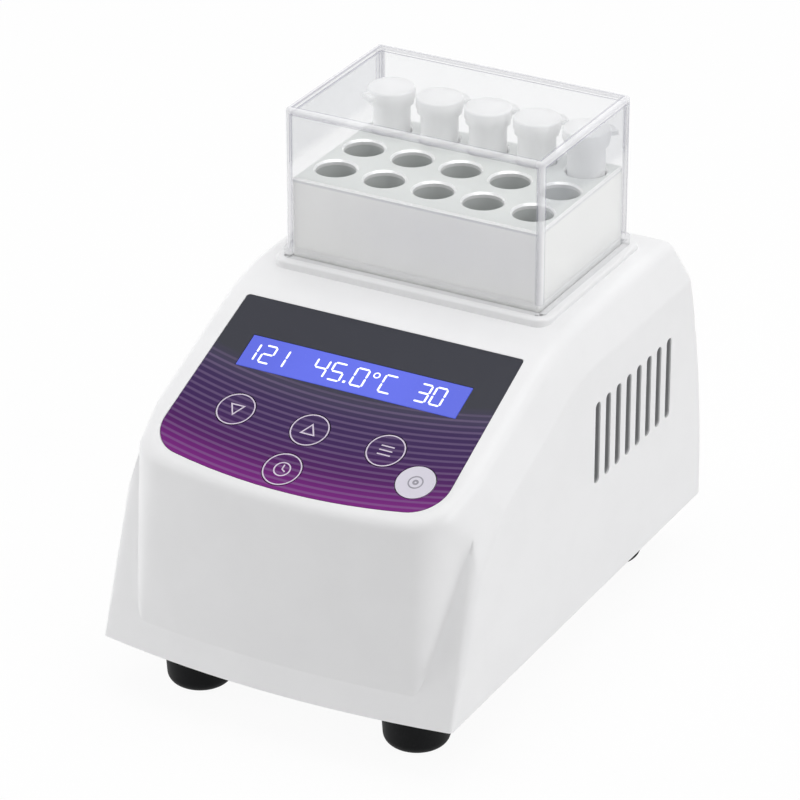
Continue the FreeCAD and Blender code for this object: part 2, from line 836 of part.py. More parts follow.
def back_openings():
    """Make the pocket in the back and the holes for the switch and the power jack."""
    pocket = box("back_pocket", "pocket_width", "2 * pocket_setback", "pocket_height",
                 y="body_depth / 2", z="pocket_sill")
    switch = box("switch_hole", "switch_width + 2 * fit_gap", "2 * overrun", "switch_length + 2 * fit_gap",
                 x="switch_x", y="pocket_floor", z="pocket_z - switch_length / 2 - fit_gap")
    jack = rod("jack_hole", "jack_diameter + 2 * fit_gap", "2 * overrun", "jack_x",
               "pocket_floor - overrun", "pocket_z", Vector(0, 1, 0))
    return [pocket, switch, jack]


def screw(name, length, x, y, z, head_down=True):
    """Make a screw whose head bears on a seat at z, with its shank upwards, or else downwards."""
    head_z, shank_z = (f"{z} - screw_head", z) if head_down else (z, f"{z} - ({length})")
    head = rod(name + "_head", "screw_head_diameter", "screw_head", x, y, head_z)
    return fuse(name, [head, rod(name + "_shank", "screw_diameter", length, x, y, shank_z)])


def screws(name, places, length, z, head_down=True):
    """Make a group of like screws."""
    group = DOC.addObject("Part::Compound", name)
    group.Links = [screw(f"{name}_{number}", length, x, y, z, head_down)
                   for number, (x, y) in enumerate(places, start=1)]
    return group


# Base plate, feet and their screws


def standoffs():
    """Give the places of the four standoffs under the main board."""
    return [(x, f"main_board_y + {side} * standoff_y") for x in ("-standoff_x", "standoff_x")
            for side in (-1, 1)]


def base_plate():
    """Make the plate that closes the housing, with bosses for the feet and standoffs for a board."""
    front_inset = "((wall + base_gap) / cos(front_lean * 1deg) + base_top * front_run)"
    plan = bowed_plan("base_plan", "(wall + base_gap)", front_inset, "base_recess",
                      "body_depth / 2 - wall - base_gap")
    added = [raise_plan("base_slab", plan, "base_thickness")]
    taken = []
    post = "base_thickness + foot_boss"
    for name, (x, y) in FEET.items():
        added.append(rod(f"foot_boss_{name}", "foot_boss_diameter", post, x, y, "base_recess"))
        taken.append(rod(f"foot_pilot_{name}", "pilot", post, x, y, "base_recess"))
    post = "base_thickness + standoff"
    for number, (x, y) in enumerate(standoffs(), start=1):
        added.append(rod(f"standoff_{number}", "standoff_diameter", post, x, y, "base_recess"))
        taken.append(rod(f"standoff_pilot_{number}", "pilot", "screw_bite", x, y, "board_low - screw_bite"))
    through, under = "2 * base_thickness", "base_recess / 2"
    for number, (x, y) in enumerate(housing_bosses(), start=1):
        taken.append(rod(f"housing_hole_{number}", "screw_hole", through, x, y, under))
    for number in range(round(value("base_slot_count"))):
        x = f"({number} - (base_slot_count - 1) / 2) * base_slot_pitch"
        taken.append(box(f"base_slot_{number}", "base_slot_width", "base_slot_length", through, x,
                         "main_board_y", under))
    return cut("base_plate", fuse("base_solid", added), taken)


def foot(name):
    """Make a tapered rubber foot with a recess for its screw."""
    recess, hole = "foot_recess_diameter / 2", "screw_hole / 2"
    low, ledge = "-foot_height", "foot_recess - foot_height"
    outer_low, outer_high = "foot_bottom_diameter / 2", "foot_top_diameter / 2"
    body = turned(name, [(recess, low), (outer_low, low), (outer_high, "base_recess"),
                         (hole, "base_recess"), (hole, ledge), (recess, ledge)])
    floor, width = value(low), value("foot_bottom_diameter")
    dress(body, "Fillet", lambda e: middle(e).z < floor + NEAR and e.BoundBox.XLength > width - NEAR,
          Radius="foot_round")
    return body


# Heating parts in and under the well


def socket_place(row, column):
    """Give the place of a socket on the block, measured from the block's middle."""
    x = f"socket_side - block_width / 2 + {column} * column_pitch"
    y = f"socket_front - block_depth / 2 + {row} * row_pitch"
    return x, y


def heating_block():
    """Make the aluminium block with its rows of conical sockets."""
    body = slab("heating_block", "block_width", "block_depth", "block_height")
    top = value("block_height")
    dress(body, "Chamfer", lambda e: middle(e).z > top - NEAR or runs_along(e, "Z"), Size="block_bevel")
    DOC.recompute()
    before = body.Shape.Volume
    grid = body.newObject("Sketcher::SketchObject", "socket_grid")
    planes = {feature.Role: feature for feature in body.Origin.OriginFeatures}
    grid.AttachmentSupport = [(planes["XY_Plane"], "")]
    grid.MapMode = "FlatFace"
    grid.AttachmentOffset = Placement(Vector(0, 0, top), Rotation())
    grid.setExpression("AttachmentOffset.Base.z", expr("block_height"))
    for row in range(round(value("socket_rows"))):
        for column in range(round(value("socket_columns"))):
            x, y = socket_place(row, column)
            centre = Vector(value(x), value(y), 0)
            circle = Part.Circle(centre, Vector(0, 0, 1), value("socket_diameter / 2"))
            shape = grid.addGeometry(circle, False)
            for kind, formula in (("DistanceX", x), ("DistanceY", y)):
                distance = Sketcher.Constraint(kind, -1, 1, shape, 3, value(formula))
                number = grid.addConstraint(distance)
                grid.setExpression(f"Constraints[{number}]", expr(formula))
            width = Sketcher.Constraint("Diameter", shape, value("socket_diameter"))
            number = grid.addConstraint(width)
            grid.setExpression(f"Constraints[{number}]", expr("socket_diameter"))
    DOC.recompute()
    sockets = body.newObject("PartDesign::Hole", "sockets")
    sockets.Profile = grid
    sockets.DepthType = "Dimension"
    sockets.DrillPoint = "Angled"
    sockets.HoleCutType = "Countersink"
    sockets.HoleCutCustomValues = True
    bind(sockets, Diameter="socket_diameter", Depth="socket_depth", DrillPointAngle="socket_cone",
         HoleCutDiameter="socket_mouth", HoleCutCountersinkAngle="socket_mouth_angle")
    DOC.recompute()
    count = value("socket_rows * socket_columns")
    bored = count * math.pi * value("socket_diameter / 2") ** 2 * value("socket_depth")
    if before - body.Shape.Volume < bored:
        raise RuntimeError("the sockets do not cut the block")
    return body


def sample_tube(name, tab_turn):
    """Make a capped tube that stands in a socket, measured from the top of the block."""
    half_cone = "tan(socket_cone / 2 * 1deg)"
    radius = "(socket_diameter / 2 - tube_gap)"
    lift = "tube_gap / sin(socket_cone / 2 * 1deg)"
    tip_z = f"{lift} - socket_depth - (socket_diameter / 2 - tube_tip) / {half_cone}"
    cone_z = f"{lift} - socket_depth - tube_gap / {half_cone}"
    rim, lid = "tube_rim_diameter / 2", "tube_cap_diameter / 2"
    rim_z = "tube_rise + tube_rim_height"
    top = f"{rim_z} + tube_cap_height"
    corners = [("0", tip_z), ("tube_tip", tip_z), (radius, cone_z), (radius, "tube_rise"),
               (rim, "tube_rise"), (rim, rim_z), (lid, rim_z), (lid, top), ("0", top)]
    tube = turned(name + "_turned", corners)
    high = value(top)
    dress(tube, "Fillet", lambda e: middle(e).z > high - NEAR and e.BoundBox.XLength > value(lid) + NEAR,
          Radius="tube_cap_round")
    tab = DOC.addObject("Part::Box", name + "_tab")
    bind(tab, Length=f"{lid} + tube_tab_length", Width="tube_tab_width", Height="tube_tab_thickness")
    turn(tab, Vector(0, 0, 1), tab_turn)
    x = f"tube_tab_width / 2 * sin({tab_turn} * 1deg)"
    y = f"-tube_tab_width / 2 * cos({tab_turn} * 1deg)"
    place(tab, x, y, f"{rim_z} + tube_tab_thickness / 2")
    return fuse(name, [tube, tab])


def clear_lid():
    """Make the clear box that covers the block, with a rim round its foot."""
    shell = slab("lid_shell", "lid_width", "lid_depth", "lid_height")
    dress(shell, "Fillet", lambda e: runs_along(e, "Z"), Radius="lid_corner")
    top = value("lid_height")
    dress(shell, "Fillet", lambda e: middle(e).z > top - NEAR, Radius="lid_edge")
    rim = slab("lid_rim_band", "lid_width + 2 * lid_rim", "lid_depth + 2 * lid_rim", "lid_rim_height")
    dress(rim, "Fillet", lambda e: runs_along(e, "Z"), Radius="lid_corner + lid_rim")
    inside = slab("lid_inside", "lid_width - 2 * lid_wall", "lid_depth - 2 * lid_wall",
                  "lid_height - lid_top")
    dress(inside, "Fillet", lambda e: runs_along(e, "Z"), Radius="lid_inner_corner")
    return cut("clear_lid", fuse("lid_solid", [shell, rim]), [inside])


def heater_layer(name, thickness, z, sensor_rise, width="block_width", depth="block_depth"):
    """Make one layer of the heater stack under the block, with the sensor's hole in it."""
    layer = box(name + "_sheet", width, depth, thickness, y="well_y", z=z)
    hole = rod(name + "_hole", "sensor_diameter + 2 * fit_gap", sensor_rise, "sensor_offset", "well_y", z)
    return layer, hole


def heater_stack():
    """Make the plate, mat, pad and tray under the block, with the sensor and the thermal cut-out."""
    plate, bore = heater_layer("heater_plate", "plate_thickness", "plate_low", "sensor_depth")
    keep(cut("heater_plate", plate, [bore]), "heater_plate")
    mat, hole = heater_layer("heater_mat", "mat_thickness", "mat_low", "mat_thickness")
    keep(cut("heater_mat", mat, [hole]), "heater_mat")
    pad_sheet, hole = heater_layer("insulation_pad", "pad_thickness", "tray_high", "pad_thickness")
    seat = rod("cutout_seat", "cutout_diameter + 2 * fit_gap", "pad_thickness", "-sensor_offset",
               "well_y", "tray_high")
    keep(cut("insulation_pad", pad_sheet, [hole, seat]), "insulation_pad")
    tray, hole = heater_layer("heater_tray", "tray_thickness", "tray_low", "tray_thickness",
                              "tray_width", "tray_depth")
    soft_tray = round_solid("heater_tray_soft", tray, lambda e: runs_along(e, "Z"),
                            "tray_boss_diameter / 2")
    holes = [rod(f"tray_hole_{number}", "screw_hole", "tray_thickness", x, y, "tray_low")
             for number, (x, y) in enumerate(tray_bosses(), start=1)]
    keep(cut("heater_tray", soft_tray, [hole] + holes), "heater_tray")
    length = "tray_thickness + screw_bite - screw_end_gap"
    keep(screws("tray_screws", tray_bosses(), length, "tray_low"), "tray_screws")
    sensor = turned("temperature_sensor", drum("sensor_diameter", "sensor_length"))
    keep(sensor, "temperature_sensor", "sensor_offset", "well_y", "plate_low + sensor_depth - sensor_length")
    cutout = turned("thermal_cutout", drum("cutout_diameter", "pad_thickness"))
    keep(cutout, "thermal_cutout", "-sensor_offset", "well_y", "tray_high")


def drum(diameter, height):
    """Give the half outline of a plain cylinder."""
    radius = f"({diameter}) / 2"
    return [("0", "0"), (radius, "0"), (radius, height), ("0", height)]


def fill_well():
    """Set the block, its tubes and the lid on the well."""
    keep(heating_block(), "heating_block", y="well_y", z="block_low")
    for number in range(TUBES):
        label = f"sample_tube_{number + 1}"
        tube = sample_tube(label, "tube_tab_turn" if number else "first_tab_turn")
        x, y = socket_place("(socket_rows - 1)", number)
        keep(tube, label, x, f"well_y + {y}", "body_height + block_rise")
    keep(clear_lid(), "clear_lid", y="well_y", z="body_height + plinth_height")


# Control panel and the display stack behind it


def push_key(key):
    """Make a round key, with a flange behind the panel and a stem that presses its switch."""
    disc, flange, stem = "key_diameter / 2", "key_hole / 2 + key_flange", "key_stem_diameter / 2"
    corners = [("0", "-stem_low"), (stem, "-stem_low"), (stem, "-stem_top"), (flange, "-stem_top"),
               (flange, "-flange_top"), (disc, "-flange_top"), (disc, "0"), ("0", "0")]
    return turned(f"key_{key}", corners)


def tact_switch(key):
    """Make the small switch under a key."""
    case = slab(f"tact_case_{key}", "switch_body", "switch_body", "switch_height")
    plunger = rod(f"tact_plunger_{key}", "plunger_diameter", "display_depth - stem_low - key_throw")
    return fuse(f"tact_switch_{key}", [case, plunger])


def control_panel():
    """Make the overlay, window, keys and the display board with what it carries."""
    film = overlay_form("overlay_film", "0", "overlay_thickness", "0")
    holes = panel_holes("overlay_hole", "overlay_thickness")
    keep_on_panel(cut("control_overlay", film, holes), "control_overlay")
    window = slab("display_window", "window_width - 2 * window_gap", "window_height - 2 * window_gap",
                  "wall")
    keep_on_panel(window, "display_window", down="lcd_down", depth="wall")
    lcd = slab("lcd_panel", "lcd_width", "lcd_height", "lcd_thickness")
    keep_on_panel(lcd, "lcd_panel", down="lcd_down", depth="wall + lcd_thickness")
    glow = slab("lcd_backlight", "lcd_width", "lcd_height", "display_depth - wall - lcd_thickness")
    keep_on_panel(glow, "lcd_backlight", down="lcd_down", depth="display_depth")
    sheet = overlay_form("display_sheet", "(-display_margin)", "board_thickness", "display_depth")
    board_low = "-(display_depth + board_thickness)"
    holes = [rod(f"display_hole_{number}", "screw_hole", "board_thickness", x, y, board_low)
             for number, (x, y) in enumerate(display_bosses(), start=1)]
    keep_on_panel(cut("display_board", sheet, holes), "display_board")
    bite = "board_thickness + display_depth - wall - screw_end_gap"
    keep_on_panel(screws("display_screws", display_bosses(), bite, board_low), "display_screws")
    header = slab("display_header", "header_width", "header_depth", "display_header_height")
    keep_on_panel(header, "display_header", down="display_header_down",
                  depth="display_depth + board_thickness + display_header_height")
    for key in KEYS:
        down = f"overlay_setback + {key}_drop"
        keep_on_panel(push_key(key), f"key_{key}", f"{key}_x", down)
        keep_on_panel(tact_switch(key), f"tact_switch_{key}", f"{key}_x", down, "display_depth")


# Main board


def heatsink():
    """Make the finned heatsink of the power transistor."""
    web = box("sink_web_plate", "sink_width", "sink_web", "sink_height", "sink_x", "sink_y", "board_top")
    fins = []
    for number in range(round(value("sink_fins"))):
        step = "(sink_width - sink_fin) / (sink_fins - 1)"
        x = f"sink_x - sink_width / 2 + sink_fin / 2 + {number} * {step}"
        fins.append(box(f"sink_fin_{number}", "sink_fin", "sink_depth", "sink_height", x,
                        "sink_y + (sink_depth - sink_web) / 2", "board_top"))
    return fuse("heatsink", [web] + fins)


def ribbon_cable():
    """Make the flat cable from the display board's header down to the main board's."""
    depth = "(display_depth + board_thickness + display_header_height)"
    sin_slope = "sin(panel_slope * 1deg)"
    high_y = f"panel_break - display_header_down * panel_cos + {depth} * {sin_slope}"
    high_z = f"body_height - display_header_down * {sin_slope} - {depth} * panel_cos"
    half = "ribbon_thickness / 2"
    corners = [(f"header_y - {half}", "header_top"), (f"header_y + {half}", "header_top"),
               (f"{high_y} + {half}", f"{high_z} + {half} * panel_rise"),
               (f"{high_y} - {half}", f"{high_z} - {half} * panel_rise")]
    body = new_body("ribbon_cable")
    pad(body, outline(body, "ribbon_side", corners, plane="YZ_Plane"), "ribbon_width", "Symmetric")
    return body


def main_board():
    """Make the main board and what stands on it."""
    sheet = box("main_sheet", "main_board_width", "main_board_depth", "board_thickness", y="main_board_y",
                z="board_low")
    holes = [rod(f"main_hole_{number}", "screw_hole", "board_thickness", x, y, "board_low")
             for number, (x, y) in enumerate(standoffs(), start=1)]
    keep(cut("main_board", sheet, holes), "main_board")
    length = "board_thickness + screw_bite - screw_end_gap"
    keep(screws("main_board_screws", standoffs(), length, "board_top", head_down=False), "main_board_screws")
    top, width = value("cap_height"), value("cap_diameter")
    for number in range(CAPACITORS):
        label = f"capacitor_{number + 1}"
        can = turned(label, drum("cap_diameter", "cap_height"))
        dress(can, "Fillet", lambda e: middle(e).z > top - NEAR and e.BoundBox.XLength > width - NEAR,
              Radius="cap_round")
        keep(can, label, "cap_x", f"cap_y - {number} * cap_pitch", "board_top")
    keep(heatsink(), "heatsink")
    mosfet = slab("mosfet", "mosfet_width", "mosfet_depth", "mosfet_height")
    keep(mosfet, "mosfet", "sink_x", "sink_y - (sink_web + mosfet_depth) / 2", "board_top")
    case = turned("buzzer_case", drum("buzzer_diameter", "buzzer_height"))
    port = rod("buzzer_hole", "buzzer_port", "buzzer_height", z="buzzer_height / 2")
    keep(cut("buzzer", case, [port]), "buzzer", "buzzer_x", "buzzer_y", "board_top")
    chip = slab("microcontroller", "chip_size", "chip_size", "chip_height")
    top = value("chip_height")
    dress(chip, "Chamfer", lambda e: middle(e).z > top - NEAR, Size="chip_bevel")
    keep(chip, "microcontroller", y="chip_y", z="board_top")
    plug = slab("power_connector", "plug_width", "plug_depth", "plug_height")
    keep(plug, "power_connector", y="plug_y", z="board_top")
    header = slab("ribbon_header", "header_width", "header_depth", "header_height")
    keep(header, "ribbon_header", y="header_y", z="board_top")
    keep(ribbon_cable(), "ribbon_cable")


# Switch and power jack on the back


def power_switch_body():
    """Make the rocker switch's case, with its bezel, its hollow and the pin the rocker turns on."""
    bezel = box("switch_bezel", "bezel_width", "bezel_depth", "bezel_height", "switch_x",
                "pocket_floor + bezel_depth / 2", "pocket_z - bezel_height / 2")
    soft = round_solid("switch_bezel_soft", bezel, lambda e: runs_along(e, "Y"), "bezel_round")
    case = box("switch_case", "switch_width", "switch_depth", "switch_length", "switch_x",
               "pocket_floor - switch_depth / 2", "pocket_z - switch_length / 2")
    inner_width, inner_height = "switch_width - 2 * switch_wall", "switch_length - 2 * switch_wall"
    hollow = box("switch_hollow", inner_width, "rocker_floor + 2 * bezel_depth", inner_height, "switch_x",
                 "pocket_floor + bezel_depth - rocker_floor / 2", f"pocket_z - ({inner_height}) / 2")
    pin = rod("switch_pin", "pivot_diameter", "switch_width - switch_wall",
              "switch_x - (switch_width - switch_wall) / 2", "pocket_floor", "pocket_z", Vector(1, 0, 0))
    shell = cut("switch_shell", fuse("switch_solid", [soft, case]), [hollow])
    return fuse("power_switch_body", [shell, pin])


def power_rocker():
    """Make the dished rocker, round at its ends about its pivot."""
    body = new_body("rocker_paddle")
    end = "sqrt(rocker_radius ^ 2 - rocker_reach ^ 2)"
    heel = "sqrt(rocker_radius ^ 2 - rocker_back ^ 2)"
    corners = [("-rocker_back", f"-{heel}"), ("rocker_reach", f"-{end}"),
               ("rocker_reach - rocker_dish", "0"), ("rocker_reach", end), ("-rocker_back", heel)]
    side = outline(body, "rocker_side", corners, {0: "rocker_radius", 3: "rocker_radius"}, "YZ_Plane")
    pad(body, side, "rocker_width", "Symmetric")
    bore = rod("rocker_bore", "pivot_diameter + 2 * fit_gap", "2 * rocker_width", "-rocker_width",
               axis=Vector(1, 0, 0))
    rocker = cut("power_rocker", body, [bore])
    turn(rocker, Vector(1, 0, 0), "-rocker_tilt")
    return rocker


def dc_jack():
    """Make the threaded power jack, with its flange, bore and centre pin."""
    def part(name, diameter, length, y):
        return rod(name, diameter, length, "jack_x", y, "pocket_z", Vector(0, 1, 0))

    barrel = part("jack_barrel", "jack_diameter", "jack_length + jack_flange", "pocket_floor - jack_length")
    flange = part("jack_collar", "jack_flange_diameter", "jack_flange", "pocket_floor")
    bore = part("jack_mouth", "jack_bore", "2 * jack_bore_depth", "jack_tip - jack_bore_depth")
    pin = part("jack_centre", "jack_pin", "jack_bore_depth", "jack_tip - jack_bore_depth - jack_flange")
    shell = cut("jack_shell", fuse("jack_solid", [barrel, flange]), [bore])
    return fuse("dc_jack", [shell, pin])


def dc_jack_nut():
    """Make the nut that holds the jack from inside."""
    nut = DOC.addObject("Part::Prism", "jack_nut_blank")
    nut.Polygon = NUT_SIDES
    bind(nut, Circumradius="nut_width / 2", Height="nut_thickness")
    nut.Placement = Placement(Vector(), Rotation(Vector(0, 0, 1), Vector(0, 1, 0)))
    place(nut, "jack_x", "pocket_floor - wall - nut_thickness", "pocket_z")
    hole = rod("jack_nut_hole", "jack_diameter + 2 * pilot_gap", "2 * overrun", "jack_x",
               "pocket_floor - wall - overrun", "pocket_z", Vector(0, 1, 0))
    return cut("dc_jack_nut", nut, [hole])


def build():
    """Build every sub-part."""
    fill_sheet()
    keep(upper_housing(), "upper_housing")
    keep(base_plate(), "base_plate")
    length = "base_thickness + screw_bite - screw_end_gap"
    keep(screws("housing_screws", housing_bosses(), length, "base_recess"), "housing_screws")
    for name, (x, y) in FEET.items():
        keep(foot(f"foot_{name}"), f"foot_{name}", x, y)
    length = "foot_height - foot_recess + base_top + foot_boss - screw_end_gap"
    keep(screws("foot_screws", FEET.values(), length, "foot_recess - foot_height"), "foot_screws")
    fill_well()
    heater_stack()
    control_panel()
    main_board()
    keep(power_switch_body(), "power_switch_body")
    keep(power_rocker(), "power_rocker", "switch_x", "pocket_floor", "pocket_z")
    keep(dc_jack(), "dc_jack")
    keep(dc_jack_nut(), "dc_jack_nut")
    DOC.recompute()


def check():
    """Stop if an object failed or a sub-part has no valid shape."""
    faults = [item.Name for item in DOC.Objects if {"Invalid", "Error"} & set(item.State)]
    faults += [item.Label for item in PARTS if item.Shape.isNull() or not item.Shape.isValid()]
    if faults:
        raise RuntimeError("failed: " + ", ".join(faults))


def write():
    """Write each sub-part to a file of its own."""
    os.makedirs("parts", exist_ok=True)
    for item in PARTS:
        item.Shape.exportStep(f"parts/{item.Label}.step")


build()
check()
write()
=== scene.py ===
"""Looks of a bench-top dry block heater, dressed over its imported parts."""

import json
import logging
import math
from abc import ABC, abstractmethod
from dataclasses import dataclass
from enum import Enum
from typing import Any, ClassVar, Iterable, Optional, Sequence, Union

import bmesh
import bpy
from mathutils import Matrix, Vector


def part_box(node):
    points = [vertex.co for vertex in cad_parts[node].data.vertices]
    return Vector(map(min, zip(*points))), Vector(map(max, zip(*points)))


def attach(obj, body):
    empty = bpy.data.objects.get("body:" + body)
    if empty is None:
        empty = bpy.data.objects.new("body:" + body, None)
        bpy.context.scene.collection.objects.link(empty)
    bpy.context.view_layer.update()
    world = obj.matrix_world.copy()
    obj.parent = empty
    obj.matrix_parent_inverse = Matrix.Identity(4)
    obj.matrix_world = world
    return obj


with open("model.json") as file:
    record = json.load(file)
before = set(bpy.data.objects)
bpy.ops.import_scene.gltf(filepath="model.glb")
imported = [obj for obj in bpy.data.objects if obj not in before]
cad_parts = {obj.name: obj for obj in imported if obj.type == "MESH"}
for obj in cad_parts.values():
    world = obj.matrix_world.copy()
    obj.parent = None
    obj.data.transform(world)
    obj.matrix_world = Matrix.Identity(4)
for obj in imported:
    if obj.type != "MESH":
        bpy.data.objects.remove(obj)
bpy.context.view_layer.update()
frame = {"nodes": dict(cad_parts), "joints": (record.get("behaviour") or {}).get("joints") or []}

LOG = logging.getLogger("dry_block_heater")
MM = 0.001
Colour = tuple[float, float, float, float]
Spot = tuple[float, float]
Span = tuple[float, float]
Place = tuple[float, float, float]
AXES = (Vector((1, 0, 0)), Vector((0, 1, 0)), Vector((0, 0, 1)))
WHITE: Colour = (1.0, 1.0, 1.0, 1.0)
NOISE_MEAN = 0.5


def seen(red: float, green: float, blue: float) -> Colour:
    """Turn a colour as the eye sees it into the linear one that a shader reads.

    Args:
        red: The red share, from 0 to 255.
        green: The green share, from 0 to 255.
        blue: The blue share, from 0 to 255.

    Returns:
        The linear colour, opaque.
    """
    def linear(share: float) -> float:
        """Undo the standard curve of displays for one channel."""
        share /= 255
        return share / 12.92 if share <= 0.04045 else ((share + 0.055) / 1.055) ** 2.4

    return linear(red), linear(green), linear(blue), 1.0


def shaded(colour: Colour, share: float) -> Colour:
    """Give a darker or lighter shade of a colour."""
    return colour[0] * share, colour[1] * share, colour[2] * share, 1.0


# Shader maths


class Signal:
    """A value inside a shader, with arithmetic that adds the nodes it needs."""

    def __init__(self, shader: "Shader", socket: bpy.types.NodeSocket) -> None:
        """Wrap a node's output socket."""
        self.shader = shader
        self.socket = socket

    def __add__(self, other: "Value") -> "Signal":
        """Add a value."""
        return self.shader.math("ADD", self, other)

    __radd__ = __add__

    def __sub__(self, other: "Value") -> "Signal":
        """Take a value away."""
        return self.shader.math("SUBTRACT", self, other)

    def __rsub__(self, other: "Value") -> "Signal":
        """Take this away from a value."""
        return self.shader.math("SUBTRACT", other, self)

    def __mul__(self, other: "Value") -> "Signal":
        """Multiply by a value."""
        return self.shader.math("MULTIPLY", self, other)

    __rmul__ = __mul__

    def __truediv__(self, other: "Value") -> "Signal":
        """Divide by a value."""
        return self.shader.math("DIVIDE", self, other)

    def __rtruediv__(self, other: "Value") -> "Signal":
        """Divide a value by this."""
        return self.shader.math("DIVIDE", other, self)

    def __mod__(self, other: "Value") -> "Signal":
        """Give what is left after whole steps of a value."""
        return self.shader.math("FLOORED_MODULO", self, other)

    def __rmod__(self, other: "Value") -> "Signal":
        """Give what is left of a value after whole steps of this."""
        return self.shader.math("FLOORED_MODULO", other, self)

    def __pow__(self, other: "Value") -> "Signal":
        """Raise to a power."""
        return self.shader.math("POWER", self, other)

    def __rpow__(self, other: "Value") -> "Signal":
        """Raise a value to this power."""
        return self.shader.math("POWER", other, self)

    def __abs__(self) -> "Signal":
        """Drop the sign."""
        return self.shader.math("ABSOLUTE", self)

    def ease(self, low: float, high: float) -> "Signal":
        """Rise smoothly from 0 at the low value to 1 at the high one, which may be the lower of the two."""
        span = self.shader.node("ShaderNodeMapRange", {"interpolation_type": "SMOOTHSTEP"},
                                {"Value": self, "From Min": low, "From Max": high})
        return Signal(self.shader, span.outputs["Result"])

    def ridges(self, pitch: float) -> "Signal":
        """Rise from 0 in the middle of each pitch to 1 at its ends."""
        return abs((self / pitch) % 1.0 - 0.5) * 2

    def swing(self, amount: float) -> "Signal":
        """Turn noise into a value that goes up and down about 0."""
        return (self - NOISE_MEAN) * amount


Value = Union[Signal, float]


class Shader:
    """A material's nodes while they are put together."""

    crease_samples: ClassVar[int] = 8

    def __init__(self, tree: bpy.types.NodeTree) -> None:
        """Start from an empty tree."""
        self.tree = tree
        self.tree.nodes.clear()

    def node(self, kind: str, settings: Optional[dict[str, Any]] = None,
             sockets: Optional[dict[Union[str, int], Any]] = None) -> bpy.types.Node:
        """Add a node.

        Args:
            kind: The node's type.
            settings: Its properties, and under "stops" the places and colours of a ramp.
            sockets: The value or the link of each input, by its name or number.

        Returns:
            The new node.
        """
        made = self.tree.nodes.new(kind)
        for name, setting in (settings or {}).items():
            if name == "stops":
                self.set_stops(made.color_ramp, setting)
            else:
                setattr(made, name, setting)
        for name, value in (sockets or {}).items():
            if isinstance(value, Signal):
                self.tree.links.new(value.socket, made.inputs[name])
            elif isinstance(value, bpy.types.NodeSocket):
                self.tree.links.new(value, made.inputs[name])
            else:
                made.inputs[name].default_value = value
        return made

    @staticmethod
    def set_stops(ramp: bpy.types.ColorRamp, stops: Sequence[tuple[float, Colour]]) -> None:
        """Give a ramp its stops.

        Args:
            ramp: The ramp.
            stops: The places and colours, in order.
        """
        while len(ramp.elements) < len(stops):
            ramp.elements.new(1.0)
        for element, (place, colour) in zip(ramp.elements, stops):
            element.position = place
            element.color = colour

    def math(self, operation: str, first: Value, second: Optional[Value] = None) -> Signal:
        """Add a Math node and give its result."""
        sockets = {0: first} if second is None else {0: first, 1: second}
        return Signal(self, self.node("ShaderNodeMath", {"operation": operation}, sockets).outputs[0])

    def blend(self, share: Signal, first: Any, second: Any) -> Signal:
        """Mix two colours, or signals that hold them, by the share that the second one has."""
        mixer = self.node("ShaderNodeMix", {"data_type": "RGBA"}, {0: share, 6: first, 7: second})
        return Signal(self, mixer.outputs[2])

    def mottle(self, noise: Signal, span: Span, colour: Colour, shade: float) -> Signal:
        """Give a colour that falls to a shade of itself where noise falls through a span."""
        return self.blend(noise.ease(*span), shaded(colour, shade), colour)

    def place(self) -> Signal:
        """Give the place on the part, in the frame that all pieces share at rest."""
        return Signal(self, self.node("ShaderNodeTexCoord").outputs["Object"])

    def along(self, place: Signal, direction: Vector) -> Signal:
        """Measure a place along a direction."""
        dot = self.node("ShaderNodeVectorMath", {"operation": "DOT_PRODUCT"}, {0: place, 1: direction})
        return Signal(self, dot.outputs["Value"])

    def stretch(self, place: Signal, scale: Sequence[float]) -> Signal:
        """Scale a place along the three axes, for a grain that runs one way."""
        product = self.node("ShaderNodeVectorMath", {"operation": "MULTIPLY"}, {0: place, 1: scale})
        return Signal(self, product.outputs["Vector"])

    def noise(self, place: Signal, size: float, detail: int = 2) -> Signal:
        """Give smooth noise from 0 to 1, by the size of its patches in metres and its finer layers."""
        made = self.node("ShaderNodeTexNoise", None, {"Vector": place, "Scale": 1 / size, "Detail": detail})
        return Signal(self, made.outputs["Fac"])

    def normal(self) -> Signal:
        """Give the surface's own normal."""
        return Signal(self, self.node("ShaderNodeNewGeometry").outputs["Normal"])

    def rounded(self, radius: float) -> Signal:
        """Give the normal that the surface has with its creases rounded."""
        made = self.node("ShaderNodeBevel", {"samples": self.crease_samples}, {"Radius": radius})
        return Signal(self, made.outputs["Normal"])

    def bump(self, height: Signal, depth: float, strength: float,
             ground: Optional[Signal] = None) -> Signal:
        """Turn a height into a normal.

        Args:
            height: The height, from 0 to 1.
            depth: What a height of 1 stands for, in metres.
            strength: How much of it shows.
            ground: The normal that the height stands on, if it isn't the surface's own.

        Returns:
            The normal.
        """
        sockets = {"Height": height, "Distance": depth, "Strength": strength}
        if ground is not None:
            sockets["Normal"] = ground
        return Signal(self, self.node("ShaderNodeBump", None, sockets).outputs["Normal"])

    def surface(self, sockets: dict[Union[str, int], Any]) -> None:
        """Add the surface shader and give it to the output."""
        made = self.node("ShaderNodeBsdfPrincipled", None, sockets)
        self.node("ShaderNodeOutputMaterial", None, {"Surface": made.outputs["BSDF"]})


# Finishes


class Finish(ABC):
    """A surface finish, whose material is made once."""

    name: str
    made: ClassVar[dict[str, bpy.types.Material]] = {}

    def material(self) -> bpy.types.Material:
        """Give the finish's material.

        Returns:
            The material, made when it is first asked for.
        """
        if self.name not in self.made:
            material = bpy.data.materials.new(self.name)
            material.use_nodes = True
            self.paint(Shader(material.node_tree))
            self.made[self.name] = material
        return self.made[self.name]

    @abstractmethod
    def paint(self, shader: Shader) -> None:
        """Put the finish's nodes together."""


